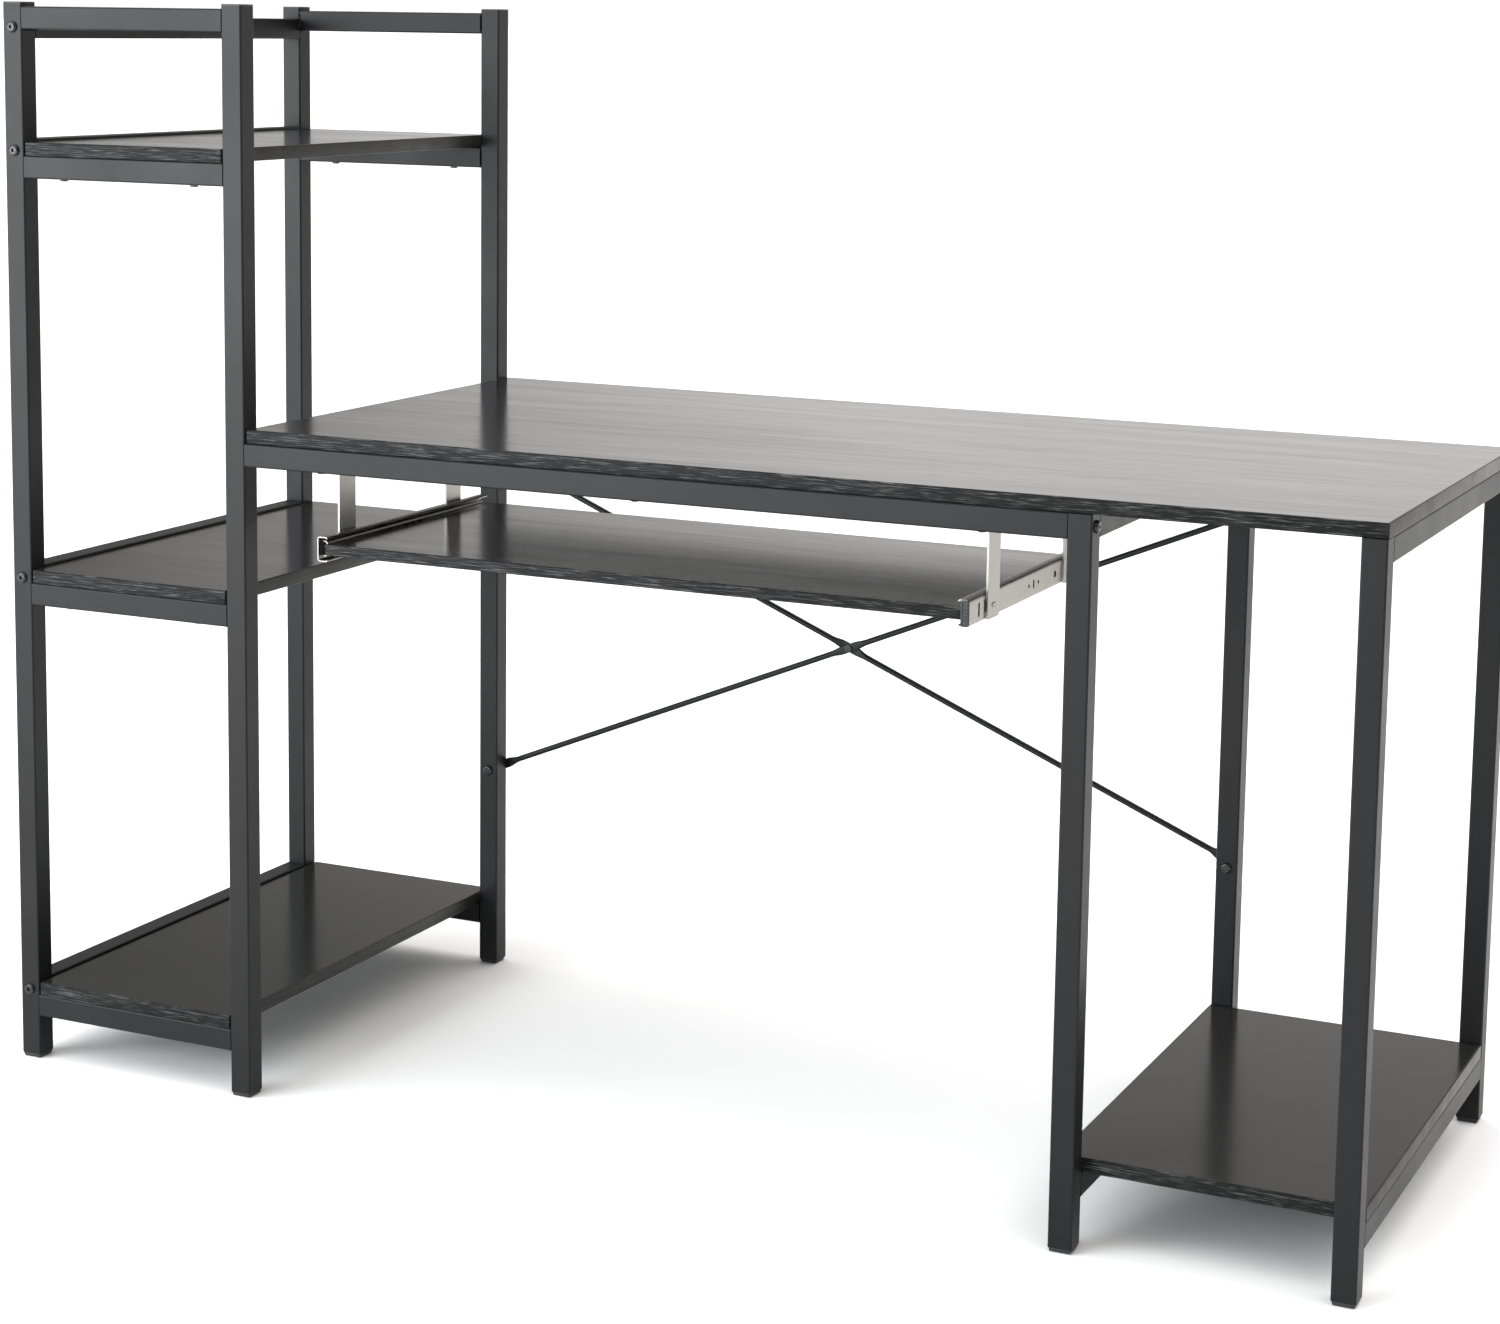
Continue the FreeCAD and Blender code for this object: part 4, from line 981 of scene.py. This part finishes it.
def add_sky(studio):
    """Soft studio surroundings: dim all round, bright behind, above, front left and at the horizon."""
    world = bpy.data.worlds.new("studio")
    bpy.context.scene.world = world
    world.use_nodes = True
    tree = world.node_tree
    tree.nodes.clear()
    output = tree.nodes.new("ShaderNodeOutputWorld")
    background = tree.nodes.new("ShaderNodeBackground")
    tree.links.new(background.outputs["Background"], output.inputs["Surface"])
    direction = tree.nodes.new("ShaderNodeTexCoord").outputs["Generated"]

    def toward(aim):
        """How nearly a direction points the way of the aim, at most 1."""
        node = tree.nodes.new("ShaderNodeVectorMath")
        node.operation = "DOT_PRODUCT"
        node.inputs[1].default_value = aim.normalized()
        tree.links.new(direction, node.inputs[0])
        return node.outputs["Value"]

    height = toward(UP)
    behind = ranged(tree, toward(BEHIND), (0.80, 0.935), FULL)
    behind = combined(tree, "MULTIPLY", behind, ranged(tree, height, (0.18, 0.33), (1.0, 0.25)))
    front_left = ranged(tree, toward(FRONT_LEFT), (0.70, 0.98), FULL)
    above = ranged(tree, height, (0.45, 0.95), FULL)
    horizon = ranged(tree, height, (0.035, 0.09), (HORIZON_LEVEL, 0.0))
    level = combined(tree, "ADD", behind, AMBIENT_LEVEL)
    level = combined(tree, "ADD", level, combined(tree, "MULTIPLY", front_left, FRONT_LEFT_LEVEL))
    level = combined(tree, "ADD", level, combined(tree, "MULTIPLY", above, ABOVE_LEVEL))
    level = combined(tree, "MAXIMUM", level, horizon)
    tree.links.new(colored(tree, front_left, WARM_TINT, COOL_TINT), background.inputs["Color"])
    tree.links.new(combined(tree, "MULTIPLY", level, studio.sky_level), background.inputs["Strength"])


def add_light(name, place, target, size, power, color):
    """A soft rectangular lamp that the camera doesn't see."""
    light = bpy.data.lights.new(name, "AREA")
    light.shape = "RECTANGLE"
    light.size, light.size_y = size
    light.energy = power
    light.color = color
    holder = bpy.data.objects.new(name, light)
    bpy.context.scene.collection.objects.link(holder)
    holder.visible_camera = False
    holder.location = place
    holder.rotation_euler = (Vector(target) - Vector(place)).to_track_quat("-Z", "Y").to_euler()


# Operators --------------------------------------------------------------------

class DESK_OT_finishes(bpy.types.Operator):
    """Make the finishes and lay them on every part of the frame"""
    bl_idname = "desk.finishes"
    bl_label = "Finishes"

    def execute(self, context):
        settings = context.scene.desk_finishes
        for slot, maker in FINISH_MAKERS.items():
            finish[slot] = maker(settings)
        for node in frame["nodes"].values():
            for holder in node.material_slots:
                holder.material = finish[holder.material.name.split(".")[0]]
        return {"FINISHED"}


class DESK_OT_boards(bpy.types.Operator):
    """Build the desktop, shelves and tray with their edge bands"""
    bl_idname = "desk.boards"
    bl_label = "Boards"

    def execute(self, context):
        for node in BOARDS:
            add_board(node, context.scene.desk_details)
        return {"FINISHED"}


class DESK_OT_brace(bpy.types.Operator):
    """Build the two pressed rods of the cross brace"""
    bl_idname = "desk.brace"
    bl_label = "Cross Brace"

    def execute(self, context):
        add_rod("brace_rod_rising", rises=True)
        add_rod("brace_rod_falling", rises=False)
        return {"FINISHED"}


class DESK_OT_brackets(bpy.types.Operator):
    """Bend the four brackets that carry the slides"""
    bl_idname = "desk.brackets"
    bl_label = "Tray Brackets"

    def execute(self, context):
        for row in ("front", "back"):
            for side in SIDES:
                add_bracket(row, side, context.scene.desk_details)
        return {"FINISHED"}


class DESK_OT_slides(bpy.types.Operator):
    """Roll the slides' channels and mould the bumper"""
    bl_idname = "desk.slides"
    bl_label = "Tray Slides"

    def execute(self, context):
        for side in SIDES:
            add_slides(side)
        add_bumper()
        return {"FINISHED"}


class DESK_OT_caps_and_glides(bpy.types.Operator):
    """Mould the post caps and the foot glides"""
    bl_idname = "desk.caps_and_glides"
    bl_label = "Caps and Glides"

    def execute(self, context):
        add_caps()
        add_glides()
        return {"FINISHED"}


class DESK_OT_welds(bpy.types.Operator):
    """Lay the fillet welds at the frames' joints"""
    bl_idname = "desk.welds"
    bl_label = "Frame Welds"

    def execute(self, context):
        add_welds(context.scene.desk_details)
        return {"FINISHED"}


class DESK_OT_stage(bpy.types.Operator):
    """Set up the floor, the soft light and the camera"""
    bl_idname = "desk.stage"
    bl_label = "Studio"

    def execute(self, context):
        studio = context.scene.desk_studio
        add_camera(studio)
        add_floor(studio)
        add_sky(studio)
        for lamp in LAMPS:
            add_light(*lamp)
        context.scene.view_settings.view_transform = "Standard"
        return {"FINISHED"}


class DESK_PT_looks(bpy.types.Panel):
    """Sidebar panel with every step of the desk's looks"""
    bl_label = "Computer Desk"
    bl_idname = "DESK_PT_looks"
    bl_space_type = "VIEW_3D"
    bl_region_type = "UI"
    bl_category = "Desk"

    def draw(self, context):
        scene = context.scene
        for settings in (scene.desk_finishes, scene.desk_details, scene.desk_studio):
            for name in settings.bl_rna.properties.keys():
                if name not in ("rna_type", "name"):
                    self.layout.prop(settings, name)
        for operator in STEPS:
            self.layout.operator(operator.bl_idname)


STEPS = [DESK_OT_finishes, DESK_OT_boards, DESK_OT_brace, DESK_OT_brackets, DESK_OT_slides,
         DESK_OT_caps_and_glides, DESK_OT_welds, DESK_OT_stage]
CLASSES = [DeskFinishes, DeskDetails, DeskStudio, *STEPS, DESK_PT_looks]


def register():
    for item in CLASSES:
        bpy.utils.register_class(item)
    bpy.types.Scene.desk_finishes = bpy.props.PointerProperty(type=DeskFinishes)
    bpy.types.Scene.desk_details = bpy.props.PointerProperty(type=DeskDetails)
    bpy.types.Scene.desk_studio = bpy.props.PointerProperty(type=DeskStudio)


def unregister():
    for name in ("desk_studio", "desk_details", "desk_finishes"):
        delattr(bpy.types.Scene, name)
    for item in reversed(CLASSES):
        bpy.utils.unregister_class(item)


def main():
    register()
    for step in STEPS:
        getattr(bpy.ops.desk, step.bl_idname.split(".")[1])()


if __name__ == "__main__":
    main()
